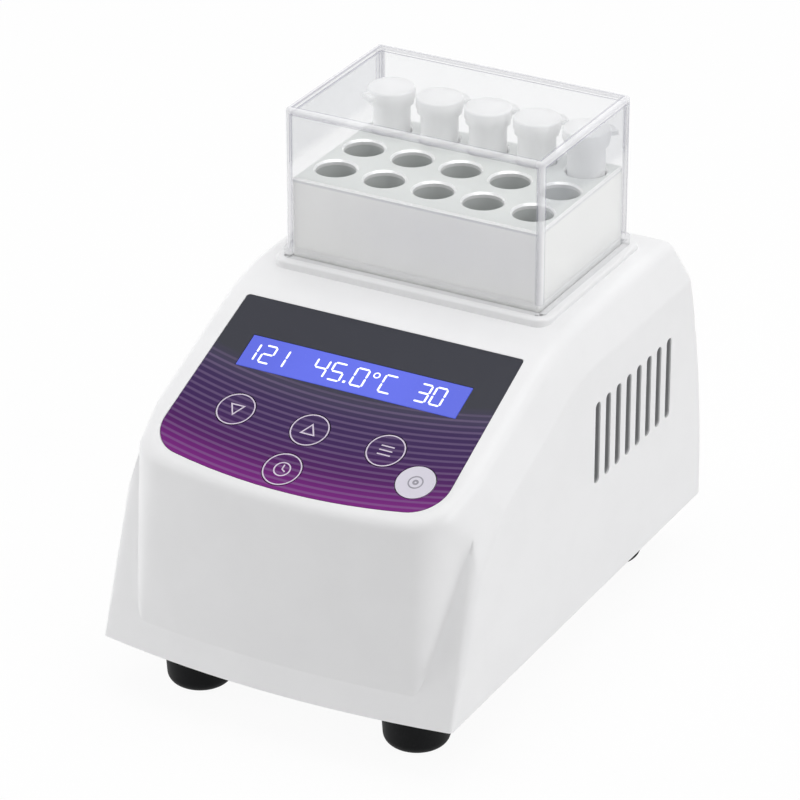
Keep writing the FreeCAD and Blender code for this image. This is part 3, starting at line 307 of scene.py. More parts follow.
@dataclass(frozen=True)
class Moulding(Finish):
    """Moulded plastic or rubber with a fine texture and a little unevenness of gloss."""

    name: str
    colour: Colour
    roughness: float = 0.35
    gloss_swing: float = 0.08
    specular: float = 0.5
    coat: float = 0.0
    coat_roughness: float = 0.12
    grain: float = 0.35 * MM
    grain_depth: float = 0.02 * MM
    grain_strength: float = 0.25
    cloud: float = 14 * MM
    cloud_span: Span = (0.35, 0.65)
    cloud_shade: float = 0.97
    translucence: float = 0.0
    light_reach: float = 8 * MM
    light_spread: Place = (1.0, 1.0, 1.0)

    def paint(self, shader: Shader) -> None:
        """Put the moulding's nodes together.

        Args:
            shader: The shader that the nodes go in.
        """
        place = shader.place()
        cloud = shader.noise(place, self.cloud, detail=3)
        normal = shader.bump(shader.noise(place, self.grain), self.grain_depth, self.grain_strength,
                             self.ground(shader, place))
        shader.surface({"Base Color": self.tint(shader, place, cloud), "Normal": normal,
                        "Roughness": cloud.swing(self.gloss_swing) + self.roughness,
                        "Specular IOR Level": self.specular,
                        "Coat Weight": self.coat, "Coat Roughness": self.coat_roughness,
                        "Subsurface Weight": self.translucence, "Subsurface Scale": self.light_reach,
                        "Subsurface Radius": self.light_spread})

    def ground(self, shader: Shader, place: Signal) -> Signal:
        """Give the normal that the texture stands on."""
        return shader.normal()

    def tint(self, shader: Shader, place: Signal, cloud: Signal) -> Signal:
        """Give the plastic's colour, a little uneven."""
        return shader.mottle(cloud, self.cloud_span, self.colour, self.cloud_shade)


@dataclass(frozen=True)
class VentedMoulding(Moulding):
    """Moulded plastic, with a painted shade on its inside walls behind the vents, which shows through them.
    """

    # Painted shade for the inside walls behind the vents
    painted_shade_colour: Colour = seen(168, 169, 171)
    skin: float = 52 * MM
    reach: Span = (1 * MM, 62 * MM)
    heights: Span = (22 * MM, 77 * MM)
    blur: float = 0.4 * MM
    soft_front: float = -46 * MM
    soft_foot: float = 26 * MM
    soft_radius: float = 5 * MM

    def ground(self, shader: Shader, place: Signal) -> Signal:
        """Ease the creases of the front, where the mould's faces run into each other.

        Args:
            shader: The shader that the nodes go in.
            place: Where the normal is read.

        Returns:
            The eased normal.
        """
        along, up = (shader.along(place, axis) for axis in AXES[1:])
        front = (along.ease(self.soft_front, self.soft_front - self.soft_radius)
                 * up.ease(self.soft_foot, self.soft_foot + self.soft_radius))
        return shader.blend(front, shader.normal(), shader.rounded(self.soft_radius))

    def tint(self, shader: Shader, place: Signal, cloud: Signal) -> Signal:
        """Give the plastic's colour outside and a painted shade inside, behind the vents.

        Args:
            shader: The shader that the nodes go in.
            place: Where the colour is read.
            cloud: The broad noise of the surface.

        Returns:
            The colour.
        """
        across, along, up = (shader.along(place, axis) for axis in AXES)
        # The inside walls behind the vents get the painted shade
        inside = abs(across).ease(self.skin, self.skin - self.blur)
        for measure, (low, high) in ((along, self.reach), (up, self.heights)):
            inside = inside * measure.ease(low, low + self.blur) * measure.ease(high, high - self.blur)
        return shader.blend(inside, super().tint(shader, place, cloud), self.painted_shade_colour)


@dataclass(frozen=True)
class Metal(Finish):
    """Machined metal, with tool marks that run one way and a fine blasted grain."""

    name: str
    colour: Colour
    roughness: float = 0.4
    gloss_swing: float = 0.2
    metallic: float = 1.0
    mark_stretch: Place = (0.05, 1.0, 1.0)
    mark_size: float = 0.25 * MM
    mark_span: Span = (0.3, 0.7)
    mark_shade: float = 0.9
    mark_share: float = 0.6
    mark_depth: float = 0.01 * MM
    mark_strength: float = 0.4
    grain: float = 0.5 * MM

    def paint(self, shader: Shader) -> None:
        """Put the metal's nodes together.

        Args:
            shader: The shader that the nodes go in.
        """
        place = shader.place()
        marks = shader.noise(shader.stretch(place, self.mark_stretch), self.mark_size, detail=3)
        grain = shader.noise(place, self.grain)
        tint = shader.mottle(marks, self.mark_span, self.colour, self.mark_shade)
        height = marks * self.mark_share + grain * (1 - self.mark_share)
        shader.surface({"Base Color": tint, "Metallic": self.metallic,
                        "Roughness": grain.swing(self.gloss_swing) + self.roughness,
                        "Normal": shader.bump(height, self.mark_depth, self.mark_strength)})


@dataclass(frozen=True)
class BlastedBlock(Finish):
    """A blasted and anodised block, with a painted highlight on its bevels and bore mouths and a painted
    shade deeper in the bores.
    """

    name: str
    low: Vector
    high: Vector
    face: Colour = seen(253, 253, 251)
    top: Colour = seen(231, 234, 232)
    # Painted highlight on the bevels and the mouths of the bores
    bevel_highlight: Colour = seen(252, 252, 252)
    # Painted shade deeper in the bores
    painted_bore_shade: Colour = seen(212, 215, 213)
    line: Colour = seen(230, 231, 232)
    bevel: float = 0.6 * MM
    line_foot: float = 1.2 * MM
    mouth: float = 1.6 * MM
    mouth_blur: float = 0.2 * MM
    side: float = 1.2 * MM
    blur: float = 0.05 * MM
    metallic: float = 0.25
    top_metallic: float = 0.08
    roughness: float = 0.4
    gloss_swing: float = 0.2
    bevel_gloss: float = 0.15
    grain: float = 0.3 * MM
    grain_depth: float = 0.015 * MM
    grain_strength: float = 0.4
    cloud: float = 12 * MM
    cloud_span: Span = (0.3, 0.7)
    cloud_share: float = 0.04
    cloud_shade: float = 0.7
    tool_pitch: float = 0.5 * MM
    tool_share: float = 0.5

    def paint(self, shader: Shader) -> None:
        """Put the block's nodes together.

        Args:
            shader: The shader that the nodes go in.
        """
        place = shader.place()
        across, along, up = (shader.along(place, axis) for axis in AXES)
        middle, half = (self.low + self.high) / 2, (self.high - self.low) / 2
        depth = self.high.z - up
        topped = depth.ease(self.blur, 0.0)
        bevelled = depth.ease(self.blur, 2 * self.blur) * depth.ease(self.bevel + self.blur, self.bevel)
        under_bevel = depth.ease(self.bevel, self.bevel + self.blur)
        lined = under_bevel * depth.ease(self.line_foot + self.blur, self.line_foot)
        inner_x, inner_y = half.x - self.side, half.y - self.side
        inner = (abs(across).ease(inner_x, inner_x - self.blur)
                 * abs(along - middle.y).ease(inner_y, inner_y - self.blur))
        mouth = inner * under_bevel
        # Inside the bores, below their mouths, where the painted shade goes
        bored = inner * depth.ease(self.mouth - self.mouth_blur, self.mouth)
        grain = shader.noise(place, self.grain)
        cloud = shader.noise(place, self.cloud, detail=3).ease(*self.cloud_span) * self.cloud_share
        plain = shader.blend(topped, self.face, self.top)
        face = shader.blend(cloud, plain, shaded(self.top, self.cloud_shade))
        # The mouths of the bores take the painted highlight
        sides = shader.blend(mouth, shader.blend(lined, face, self.line), self.bevel_highlight)
        # The bevels take the painted highlight, and the bores below their mouths a painted shade
        tint = shader.blend(bevelled, shader.blend(bored, sides, self.painted_bore_shade), self.bevel_highlight)
        rings = up.ridges(self.tool_pitch) * bored
        height = grain * (1 - self.tool_share) + rings * self.tool_share
        roughness = grain.swing(self.gloss_swing) + self.roughness - bevelled * self.bevel_gloss
        shader.surface({"Base Color": tint, "Roughness": roughness,
                        "Metallic": topped * (self.top_metallic - self.metallic) + self.metallic,
                        "Normal": shader.bump(height, self.grain_depth, self.grain_strength)})


@dataclass(frozen=True)
class ClearBox(Finish):
    """Clear polished plastic in the form of a box, faint on its faces, whiter along its edges by a painted
    reflection, with painted shade on its sides.
    """

    name: str
    low: Vector
    high: Vector
    face: Colour = seen(228, 230, 234)
    # Painted shade on the side walls
    side: Colour = seen(200, 203, 210)
    # Painted reflection: the white core of the edge strips and the pale band at the foot
    white: Colour = seen(246, 246, 249)
    # Painted reflection: the grey lines along the edges and at the rim
    line: Colour = seen(178, 177, 190)
    wall: float = 2.2 * MM
    rim: float = 1 * MM
    rim_height: float = 2.4 * MM
    rim_share: float = 0.3
    foot_share: float = 0.08
    edge: float = 1.9 * MM
    line_width: float = 0.5 * MM
    side_start: float = 25 * MM
    side_full: float = 29 * MM
    blur: float = 0.15 * MM
    haze: float = 9 * MM
    roughness: float = 0.06
    gloss_swing: float = 0.04
    # How much of what lies behind is veiled, on the faces and by each of the marks on them: the painted
    # reflections along the edges, rim and foot, and the painted shade on the side walls
    veil: float = 0.045
    edge_veil: float = 0.42
    line_veil: float = 0.31
    side_veil: float = 0.11
    haze_veil: float = 0.02
    glance_veil: float = 0.32
    glance_power: float = 3.0

    def edges(self, shader: Shader, gaps: Sequence[Signal], width: float) -> Signal:
        """Find the strips of a width along the box's edges, by the gaps to its sides, ends and top."""
        side, end, top = (gap.ease(width, width - self.blur) for gap in gaps)
        return shader.math("MAXIMUM", side * end, shader.math("MAXIMUM", side * top, end * top))

    def paint(self, shader: Shader) -> None:
        """Put the clear box's nodes together.

        Args:
            shader: The shader that the nodes go in.
        """
        place = shader.place()
        across, along, up = (shader.along(place, axis) for axis in AXES)
        middle, half = (self.low + self.high) / 2, (self.high - self.low) / 2
        gaps = (half.x - self.rim - abs(across - middle.x), half.y - self.rim - abs(along - middle.y),
                self.high.z - up)
        from_foot = up - self.low.z
        above = from_foot.ease(self.rim_height, self.rim_height + self.blur)
        # Painted reflections: white strips along the edges with grey lines at their sides, a grey line at
        # the rim and a pale band at the foot
        strip = self.edges(shader, gaps, self.edge) * above
        core = self.edges(shader, gaps, self.edge - self.line_width) * above
        from_rim = abs(from_foot - self.rim_height)
        rim_line = from_rim.ease(self.line_width, self.line_width - self.blur) * self.rim_share
        line = shader.math("MAXIMUM", strip - core, rim_line)
        pale = shader.math("MAXIMUM", core, (1 - above) * self.foot_share)
        facing = Signal(shader, shader.node("ShaderNodeLayerWeight").outputs["Facing"])
        haze = shader.noise(place, self.haze, detail=3)
        # Painted shade on the side walls, from partway up
        sides = (gaps[0].ease(self.wall, self.wall - self.blur)
                 * from_foot.ease(self.side_start, self.side_full))
        plain = shader.blend(sides, self.face, self.side)
        tint = shader.blend(line, shader.blend(pale, plain, self.white), self.line)
        veil = (facing ** self.glance_power * self.glance_veil + pale * self.edge_veil
                + line * self.line_veil + sides * self.side_veil + self.veil + haze.swing(self.haze_veil))
        shader.surface({"Base Color": tint, "Alpha": shader.math("MINIMUM", veil, 1.0),
                        "Roughness": haze.swing(self.gloss_swing) + self.roughness})


@dataclass(frozen=True)
class PrintedFilm(Finish):
    """Printed film that runs from slate at the top to magenta at the foot, with bowed fine lines."""

    name: str
    plane: "PrintFace"
    slate: Colour = seen(56, 57, 65)
    dusk: Colour = seen(62, 56, 82)
    violet: Colour = seen(54, 34, 80)
    plum: Colour = seen(56, 26, 82)
    wine: Colour = seen(74, 16, 90)
    magenta: Colour = seen(104, 22, 112)
    orchid: Colour = seen(120, 30, 124)
    line: Colour = seen(150, 128, 166)
    bow_radius: float = 165 * MM
    lines_start: float = 23 * MM
    lines_full: float = 27 * MM
    line_pitch: float = 2.03 * MM
    line_share: float = 0.36
    line_blur: float = 0.16
    line_strength: float = 0.26
    length: float = 59.2 * MM
    roughness: float = 0.38
    gloss_swing: float = 0.1
    specular: float = 0.15
    grain: float = 0.12 * MM
    grain_depth: float = 0.01 * MM
    grain_strength: float = 0.2

    def stops(self) -> list[tuple[float, Colour]]:
        """List the film's colours with their places, as shares of its length."""
        return [(0.0, self.slate), (0.38, self.slate), (0.45, self.dusk), (0.55, self.violet),
                (0.7, self.plum), (0.84, self.wine), (0.93, self.magenta), (1.0, self.orchid)]

    def paint(self, shader: Shader) -> None:
        """Put the film's nodes together.

        Args:
            shader: The shader that the nodes go in.
        """
        place = shader.place()
        across = shader.along(place, self.plane.across)
        down = shader.along(place, self.plane.down) - self.plane.origin.dot(self.plane.down)
        bowed = down + across * across / (2 * self.bow_radius)
        ramp = shader.node("ShaderNodeValToRGB", {"stops": self.stops()}, {"Fac": bowed / self.length})
        ground = Signal(shader, ramp.outputs["Color"])
        from_line = bowed.ridges(self.line_pitch)
        ink = from_line.ease(self.line_share + self.line_blur, self.line_share - self.line_blur)
        shown = ink * bowed.ease(self.lines_start, self.lines_full) * self.line_strength
        lined = shader.blend(shown, ground, self.line)
        grain = shader.noise(place, self.grain)
        shader.surface({"Base Color": lined, "Roughness": grain.swing(self.gloss_swing) + self.roughness,
                        "Normal": shader.bump(grain, self.grain_depth, self.grain_strength),
                        "Specular IOR Level": self.specular})


@dataclass(frozen=True)
class LitDisplay(Finish):
    """A lit display behind its window, a little brighter towards the middle."""

    name: str
    plane: "PrintFace"
    glow: Colour = seen(92, 108, 236)
    dim: Colour = seen(84, 100, 222)
    ground: Colour = seen(30, 36, 120)
    half_width: float = 33 * MM
    bright_half_width: float = 9.9 * MM
    strength: float = 0.75
    cell: float = 0.4 * MM
    roughness: float = 0.25
    gloss_swing: float = 0.1
    coat: float = 0.2

    def paint(self, shader: Shader) -> None:
        """Put the display's nodes together.

        Args:
            shader: The shader that the nodes go in.
        """
        place = shader.place()
        from_middle = abs(shader.along(place, self.plane.across))
        cells = shader.noise(place, self.cell, detail=1)
        lit = shader.blend(from_middle.ease(self.bright_half_width, self.half_width), self.glow, self.dim)
        shader.surface({"Base Color": self.ground, "Coat Weight": self.coat,
                        "Emission Color": lit, "Emission Strength": self.strength,
                        "Roughness": cells.swing(self.gloss_swing) + self.roughness})


@dataclass(frozen=True)
class Ink(Finish):
    """Printed ink, worn thin here and there."""

    name: str
    colour: Colour
    glow: float = 0.0
    patch: float = 1.2 * MM
    wear_span: Span = (0.3, 0.6)
    wear_shade: float = 0.88
    roughness: float = 0.5
    gloss_swing: float = 0.2

    def paint(self, shader: Shader) -> None:
        """Put the ink's nodes together.

        Args:
            shader: The shader that the nodes go in.
        """
        patches = shader.noise(shader.place(), self.patch, detail=3)
        tint = shader.mottle(patches, self.wear_span, self.colour, self.wear_shade)
        shader.surface({"Base Color": tint, "Roughness": patches.swing(self.gloss_swing) + self.roughness,
                        "Emission Color": tint, "Emission Strength": self.glow})


@dataclass(frozen=True)
class Board(Finish):
    """A circuit board's lacquer over its copper tracks."""

    name: str
    colour: Colour = seen(28, 96, 58)
    track: Colour = seen(46, 128, 78)
    pitch: float = 2.54 * MM
    track_stretch: Place = (1.0, 0.25, 1.0)
    track_span: Span = (0.06, 0.03)
    track_height: float = 0.03 * MM
    track_strength: float = 0.5
    track_gloss: float = 0.1
    roughness: float = 0.45

    def paint(self, shader: Shader) -> None:
        """Put the board's nodes together, with tracks where the noise is near its mean.

        Args:
            shader: The shader that the nodes go in.
        """
        path = shader.noise(shader.stretch(shader.place(), self.track_stretch), self.pitch, detail=1)
        copper = abs(path - NOISE_MEAN).ease(*self.track_span)
        tint = shader.blend(copper, self.colour, self.track)
        shader.surface({"Base Color": tint, "Roughness": self.roughness - copper * self.track_gloss,
                        "Normal": shader.bump(copper, self.track_height, self.track_strength)})


@dataclass(frozen=True)
class FlatCable(Finish):
    """A flat cable of side-by-side wires, with the first one marked."""

    name: str
    colour: Colour = seen(168, 168, 172)
    mark: Colour = seen(190, 40, 40)
    pitch: float = 1.27 * MM
    half_width: float = 7.5 * MM
    mark_width: float = 1.524 * MM
    mark_blur: float = 0.127 * MM
    groove_depth: float = 0.3 * MM
    groove_strength: float = 0.6
    groove_dulling: float = 0.1
    roughness: float = 0.45

    def paint(self, shader: Shader) -> None:
        """Put the cable's nodes together.

        Args:
            shader: The shader that the nodes go in.
        """
        across = shader.along(shader.place(), AXES[0])
        groove = across.ridges(self.pitch)
        mark_end = self.mark_width - self.half_width
        first = across.ease(mark_end + self.mark_blur, mark_end)
        shader.surface({"Base Color": shader.blend(first, self.colour, self.mark),
                        "Roughness": groove * self.groove_dulling + self.roughness,
                        "Normal": shader.bump(1 - groove, self.groove_depth, self.groove_strength)})


# Pieces


@dataclass(frozen=True)
class PrintFace:
    """A flat face that carries prints: the sloping panel, or one half of the rocker."""

    origin: Vector
    across: Vector
    down: Vector
    out: Vector
    same_way: ClassVar[float] = 0.999

    @classmethod
    def of_film(cls) -> "PrintFace":
        """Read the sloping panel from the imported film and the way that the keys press.

        Returns:
            The face, measured from the middle of the film's upper edge.
        """
        press = next(joint["axis"] for joint in frame["joints"] if joint["name"] == "key_up_press")
        out = -Vector(press).normalized()
        across = AXES[0].copy()
        down = across.cross(out)
        corners = [vertex.co for vertex in frame["nodes"]["control_overlay"].data.vertices]
        lift = max(corner.dot(out) for corner in corners)
        start = min(corner.dot(down) for corner in corners)
        return cls(out * lift + down * start, across, down, out)

    @classmethod
    def of_half(cls, node: str, upper: bool) -> "PrintFace":
        """Read the back face of a dished node, above or below its middle.

        Args:
            node: The node.
            upper: Whether it is the half above the middle.

        Returns:
            The face, measured from its own middle.
        """
        mesh = frame["nodes"][node].data
        middle = sum((corner.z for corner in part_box(node)), 0.0) / 2
        half = [face for face in mesh.polygons if (face.center.z > middle) == upper]
        largest = max(half, key=lambda face: face.normal.y * face.area)
        flat = [face for face in half if face.normal.dot(largest.normal) > cls.same_way]
        area = sum(face.area for face in flat)
        centre = sum((face.center * face.area for face in flat), Vector()) / area
        out = largest.normal.normalized()
        return cls(centre, AXES[0].copy(), AXES[0].cross(out), out)

    def point(self, x: float, down: float) -> Vector:
        """Give the place of a spot on the face."""
        return self.origin + self.across * x + self.down * down

    def spot(self, node: str) -> Spot:
        """Find the middle of a node on the face.

        Args:
            node: The node.

        Returns:
            How far its middle lies across and down the face.
        """
        offsets = [vertex.co - self.origin for vertex in frame["nodes"][node].data.vertices]
        x = [offset.dot(self.across) for offset in offsets]
        down = [offset.dot(self.down) for offset in offsets]
        return (min(x) + max(x)) / 2, (min(down) + max(down)) / 2


class Print:
    """Thin printed shapes on a face, gathered into one mesh."""

    thickness = 0.03 * MM
    least_mitre = 0.3

    def __init__(self, plane: PrintFace, middle: Spot = (0.0, 0.0)) -> None:
        """Start a print.

        Args:
            plane: The face that it is on.
            middle: The spot on the face that its corners are measured from.
        """
        self.plane = plane
        self.middle = middle
        self.mesh = bmesh.new()

    def corner(self, x: float, down: float) -> bmesh.types.BMVert:
        """Add a corner, measured from the print's middle."""
        return self.mesh.verts.new(self.plane.point(self.middle[0] + x, self.middle[1] + down))

    def patch(self, corners: Iterable[Spot]) -> None:
        """Fill a shape that has no hollow corner."""
        self.mesh.faces.new([self.corner(*corner) for corner in corners])

    def band(self, outer: Sequence[Spot], inner: Sequence[Spot], closed: bool) -> None:
        """Fill the strip between two lines of as many corners.

        Args:
            outer: The corners of one side.
            inner: The corners of the other side.
            closed: Whether the strip runs round to its start.
        """
        rows = [[self.corner(*corner) for corner in line] for line in (outer, inner)]
        count = len(outer)
        for step in range(count if closed else count - 1):
            following = (step + 1) % count
            self.mesh.faces.new([rows[0][step], rows[0][following], rows[1][following], rows[1][step]])

    def ring(self, radius: float, width: float, centre: Spot = (0.0, 0.0), sides: int = 72) -> None:
        """Draw a ring.

        Args:
            radius: Its outer radius.
            width: The width of its line.
            centre: Where its centre is.
            sides: How many sides it has.
        """
        def circle(size: float) -> list[Spot]:
            """Give the corners of a circle.

            Args:
                size: Its radius.

            Returns:
                The corners, in order.
            """
            turns = [2 * math.pi * side / sides for side in range(sides)]
            return [(centre[0] + size * math.cos(turn), centre[1] + size * math.sin(turn))
                    for turn in turns]

        self.band(circle(radius), circle(radius - width), closed=True)

    def stroke(self, corners: Sequence[Spot], width: float, closed: bool = False) -> None:
        """Draw a line of even width with mitred corners.

        Args:
            corners: The corners that the line goes through.
            width: The width of the line.
            closed: Whether the line runs round to its start.
        """
        points = [Vector(corner) for corner in corners]
        count = len(points)
        sides: tuple[list[Spot], list[Spot]] = ([], [])
        for step, point in enumerate(points):
            before = points[step - 1] if closed or step else None
            after = points[(step + 1) % count] if closed or step < count - 1 else None
            ways = []
            if before is not None:
                ways.append((point - before).normalized())
            if after is not None:
                ways.append((after - point).normalized())
            normals = [Vector((way.y, -way.x)) for way in ways]
            mitre = sum(normals, Vector((0, 0))).normalized()
            offset = mitre * (width / 2 / max(mitre.dot(normals[0]), self.least_mitre))
            sides[0].append(tuple(point + offset))
            sides[1].append(tuple(point - offset))
        self.band(sides[0], sides[1], closed)

    def piece(self, name: str, body: str, slot: str, finish: Finish) -> None:
        """Raise the print to its thickness and put it on a body.

        Args:
            name: The piece's name.
            body: The body that it rides on.
            slot: The record's material slot; not used.
            finish: The finish that it gets.
        """
        bmesh.ops.recalc_face_normals(self.mesh, faces=self.mesh.faces)
        raised = bmesh.ops.extrude_face_region(self.mesh, geom=self.mesh.faces[:])
        tops = [item for item in raised["geom"] if isinstance(item, bmesh.types.BMVert)]
        bmesh.ops.translate(self.mesh, verts=tops, vec=self.plane.out * self.thickness)
        bmesh.ops.recalc_face_normals(self.mesh, faces=self.mesh.faces)
        mesh = bpy.data.meshes.new(name)
        self.mesh.to_mesh(mesh)
        self.mesh.free()
        piece = bpy.data.objects.new(name, mesh)
        bpy.context.scene.collection.objects.link(piece)
        mesh.materials.append(finish.material())
        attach(piece, body)
        LOG.info("piece %s rides on %s", name, body)


def dress(nodes: Iterable[str], finish: Finish) -> None:
    """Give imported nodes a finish.

    Args:
        nodes: The names of the nodes.
        finish: The finish.
    """
    for node in nodes:
        mesh = frame["nodes"][node].data
        mesh.materials.clear()
        mesh.materials.append(finish.material())
        LOG.info("node %s has %s", node, finish.name)


def nodes_named(start: str) -> list[str]:
    """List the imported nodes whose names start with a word."""
    return sorted(name for name in frame["nodes"] if name.startswith(start))


@dataclass
class Casing:
    """The moulded housing, its base plate, feet and screws."""

    white: Finish = VentedMoulding("white_moulding", seen(240, 240, 241), roughness=0.34, coat=0.1,
                                   cloud_shade=0.985)
    grey: Finish = Moulding("base_moulding", seen(226, 226, 228), roughness=0.5, grain=0.6 * MM,
                            grain_strength=0.4)
    rubber: Finish = Moulding("foot_rubber_black", seen(18, 19, 21), roughness=0.55, specular=0.12,
                              grain=0.5 * MM, grain_depth=0.05 * MM, grain_strength=0.5, cloud_shade=0.8)
    zinc: Finish = Metal("zinc_screw", seen(190, 192, 195), roughness=0.35, mark_stretch=(1.0, 1.0, 0.1))

    def build(self) -> None:
        """Dress the casing."""
        dress(["upper_housing"], self.white)
        dress(["base_plate"], self.grey)
        dress(nodes_named("foot_front") + nodes_named("foot_rear"), self.rubber)
        dress(["housing_screws", "foot_screws"], self.zinc)


class Symbol(Enum):
    """What is printed on a key."""

    LESS = "down"
    MORE = "up"
    STEPS = "program"
    CLOCK = "timer"
    ENTER = "set"


SEGMENTS = {"0": "abcdef", "1": "bc", "2": "abged", "3": "abgcd", "4": "fgbc", "5": "afgcd", "6": "afgedc",
            "7": "abc", "8": "abcdefg", "9": "abcdfg", "C": "adef"}


@dataclass(frozen=True)
class Reading:
    """A number on the display, with the place of the left side of each of its signs."""

    signs: str
    places: tuple[float, ...]
    width: float


READINGS = (
    Reading("121", (-32.2 * MM, -27.3 * MM, -23.4 * MM), width=3.2 * MM),
    Reading("45.0°C", (-11.5 * MM, -6.5 * MM, -1.9 * MM, 0.2 * MM, 5.1 * MM, 8.6 * MM), width=3.5 * MM),
    Reading("30", (19.2 * MM, 23.6 * MM), width=3.1 * MM),
)


@dataclass
class ControlPanel:
    """The printed film, the lit display with its figures, and the keys with their prints."""

    plane: PrintFace
    ring_width: float = 0.36 * MM
    line_width: float = 0.38 * MM
    face_depth: float = 0.05 * MM
    symbol_size: float = 1.9 * MM
    figure_height: float = 5.9 * MM
    figure_line: float = 0.55 * MM
    figure_gap: float = 0.1 * MM
    point_side: float = 0.77 * MM
    degree: float = 1.0 * MM
    degree_sides: int = 32
    # The symbols' corners and radii, as shares of their size
    triangle: tuple[Spot, ...] = ((-1.0, -0.75), (1.0, -0.75), (0.0, 1.0))
    step_rows: tuple[float, ...] = (-0.75, 0.0, 0.75)
    clock_hands: tuple[Spot, ...] = ((0.0, -0.8), (0.0, 0.0), (0.55, 0.35))
    clock_radius: float = 1.25
    enter_radius: float = 1.1
    enter_core: float = 0.45
    enter_core_line: float = 0.3
    white_ink: Finish = Ink("white_ink", seen(216, 204, 222))
    grey_ink: Finish = Ink("grey_ink", seen(150, 148, 158))
    figure_ink: Finish = Ink("display_figures", seen(236, 240, 255), glow=0.7)
    pale: Finish = Moulding("pale_key", seen(214, 210, 222), roughness=0.4, grain=0.4 * MM)

    def build(self) -> None:
        """Dress the panel and add its prints."""
        film = PrintedFilm("printed_film", self.plane)
        dress(["control_overlay"], film)
        dress(["display_window"], LitDisplay("lit_display", self.plane))
        for symbol in Symbol:
            dress([f"key_{symbol.value}"], self.pale if symbol is Symbol.ENTER else film)
            self.print_key(symbol)
        self.print_figures()

    def print_key(self, symbol: Symbol) -> None:
        """Print a key's ring and its symbol.

        Args:
            symbol: The key's symbol.
        """
        node = f"key_{symbol.value}"
        art = Print(self.plane, self.plane.spot(node))
        ink = self.grey_ink if symbol is Symbol.ENTER else self.white_ink
        if symbol is not Symbol.ENTER:
            art.ring(self.face_radius(node), self.ring_width)
        size, line = self.symbol_size, self.line_width
        if symbol in (Symbol.LESS, Symbol.MORE):
            way = 1 if symbol is Symbol.LESS else -1
            art.stroke([(size * x, way * size * down) for x, down in self.triangle], line, closed=True)
        elif symbol is Symbol.STEPS:
            for row in self.step_rows:
                art.stroke([(-size, row * size), (size, row * size)], line)
        elif symbol is Symbol.CLOCK:
            art.ring(self.clock_radius * size, line)
            art.stroke([(size * x, size * down) for x, down in self.clock_hands], line)
        else:
            art.ring(self.enter_radius * size, line)
            art.ring(self.enter_core * size, self.enter_core_line * size)
        art.piece(f"{node}_print", node, "key_print", ink)

    def face_radius(self, node: str) -> float:
        """Find the radius of a key's face.

        Args:
            node: The key's node.

        Returns:
            The radius.
        """
        top = self.plane.point(*self.plane.spot(node))
        offsets = [vertex.co - top for vertex in frame["nodes"][node].data.vertices]
        return max(offset.length for offset in offsets
                   if abs(offset.dot(self.plane.out)) < self.face_depth)

    def print_figures(self) -> None:
        """Draw the figures on the display."""
        window_middle = self.plane.spot("display_window")[1]
        art = Print(self.plane, (0.0, window_middle))
        top, low = -self.figure_height / 2, self.figure_height / 2
        for reading in READINGS:
            for sign, left in zip(reading.signs, reading.places):
                if sign == ".":
                    right, high = left + self.point_side, low - self.point_side
                    art.patch([(left, high), (right, high), (right, low), (left, low)])
                elif sign == "°":
                    centre = (left + self.degree, top + self.degree)
                    art.ring(self.degree, self.line_width, centre, self.degree_sides)
                else:
                    self.figure(art, sign, left, reading.width)
        art.piece("display_figures", "housing", "lcd_light", self.figure_ink)

    def figure(self, art: Print, sign: str, left: float, width: float) -> None:
        """Draw one figure from its straight segments.

        Args:
            art: The print that it goes in.
            sign: The figure.
            left: Where its left side is, across the panel.
            width: How wide it is.
        """
        right, top, low = left + width, -self.figure_height / 2, self.figure_height / 2
        ends = {"a": ((left, top), (right, top)), "b": ((right, top), (right, 0.0)),
                "c": ((right, 0.0), (right, low)), "d": ((left, low), (right, low)),
                "e": ((left, 0.0), (left, low)), "f": ((left, top), (left, 0.0)),
                "g": ((left, 0.0), (right, 0.0))}
        half = self.figure_line / 2
        for name in SEGMENTS[sign]:
            start, end = (Vector(corner) for corner in ends[name])
            way = (end - start).normalized()
            side = Vector((way.y, -way.x)) * half
            first, last = start + way * self.figure_gap, end - way * self.figure_gap
            art.patch([tuple(first), tuple(first + way * half + side), tuple(last - way * half + side),
                       tuple(last), tuple(last - way * half - side), tuple(first + way * half - side)])


@dataclass
class TubeBlock:
    """The aluminium block, the tubes that stand in it and the clear lid."""

    tube: Finish = Moulding("tube_white", seen(250, 250, 250), roughness=0.35, grain=0.5 * MM,
                            cloud_shade=0.99, translucence=0.8)

    def build(self) -> None:
        """Dress the block, the tubes and the lid."""
        dress(["heating_block"], BlastedBlock("blasted_block", *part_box("heating_block")))
        dress(nodes_named("sample_tube"), self.tube)
        dress(["clear_lid"], ClearBox("clear_lid_plastic", *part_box("clear_lid")))


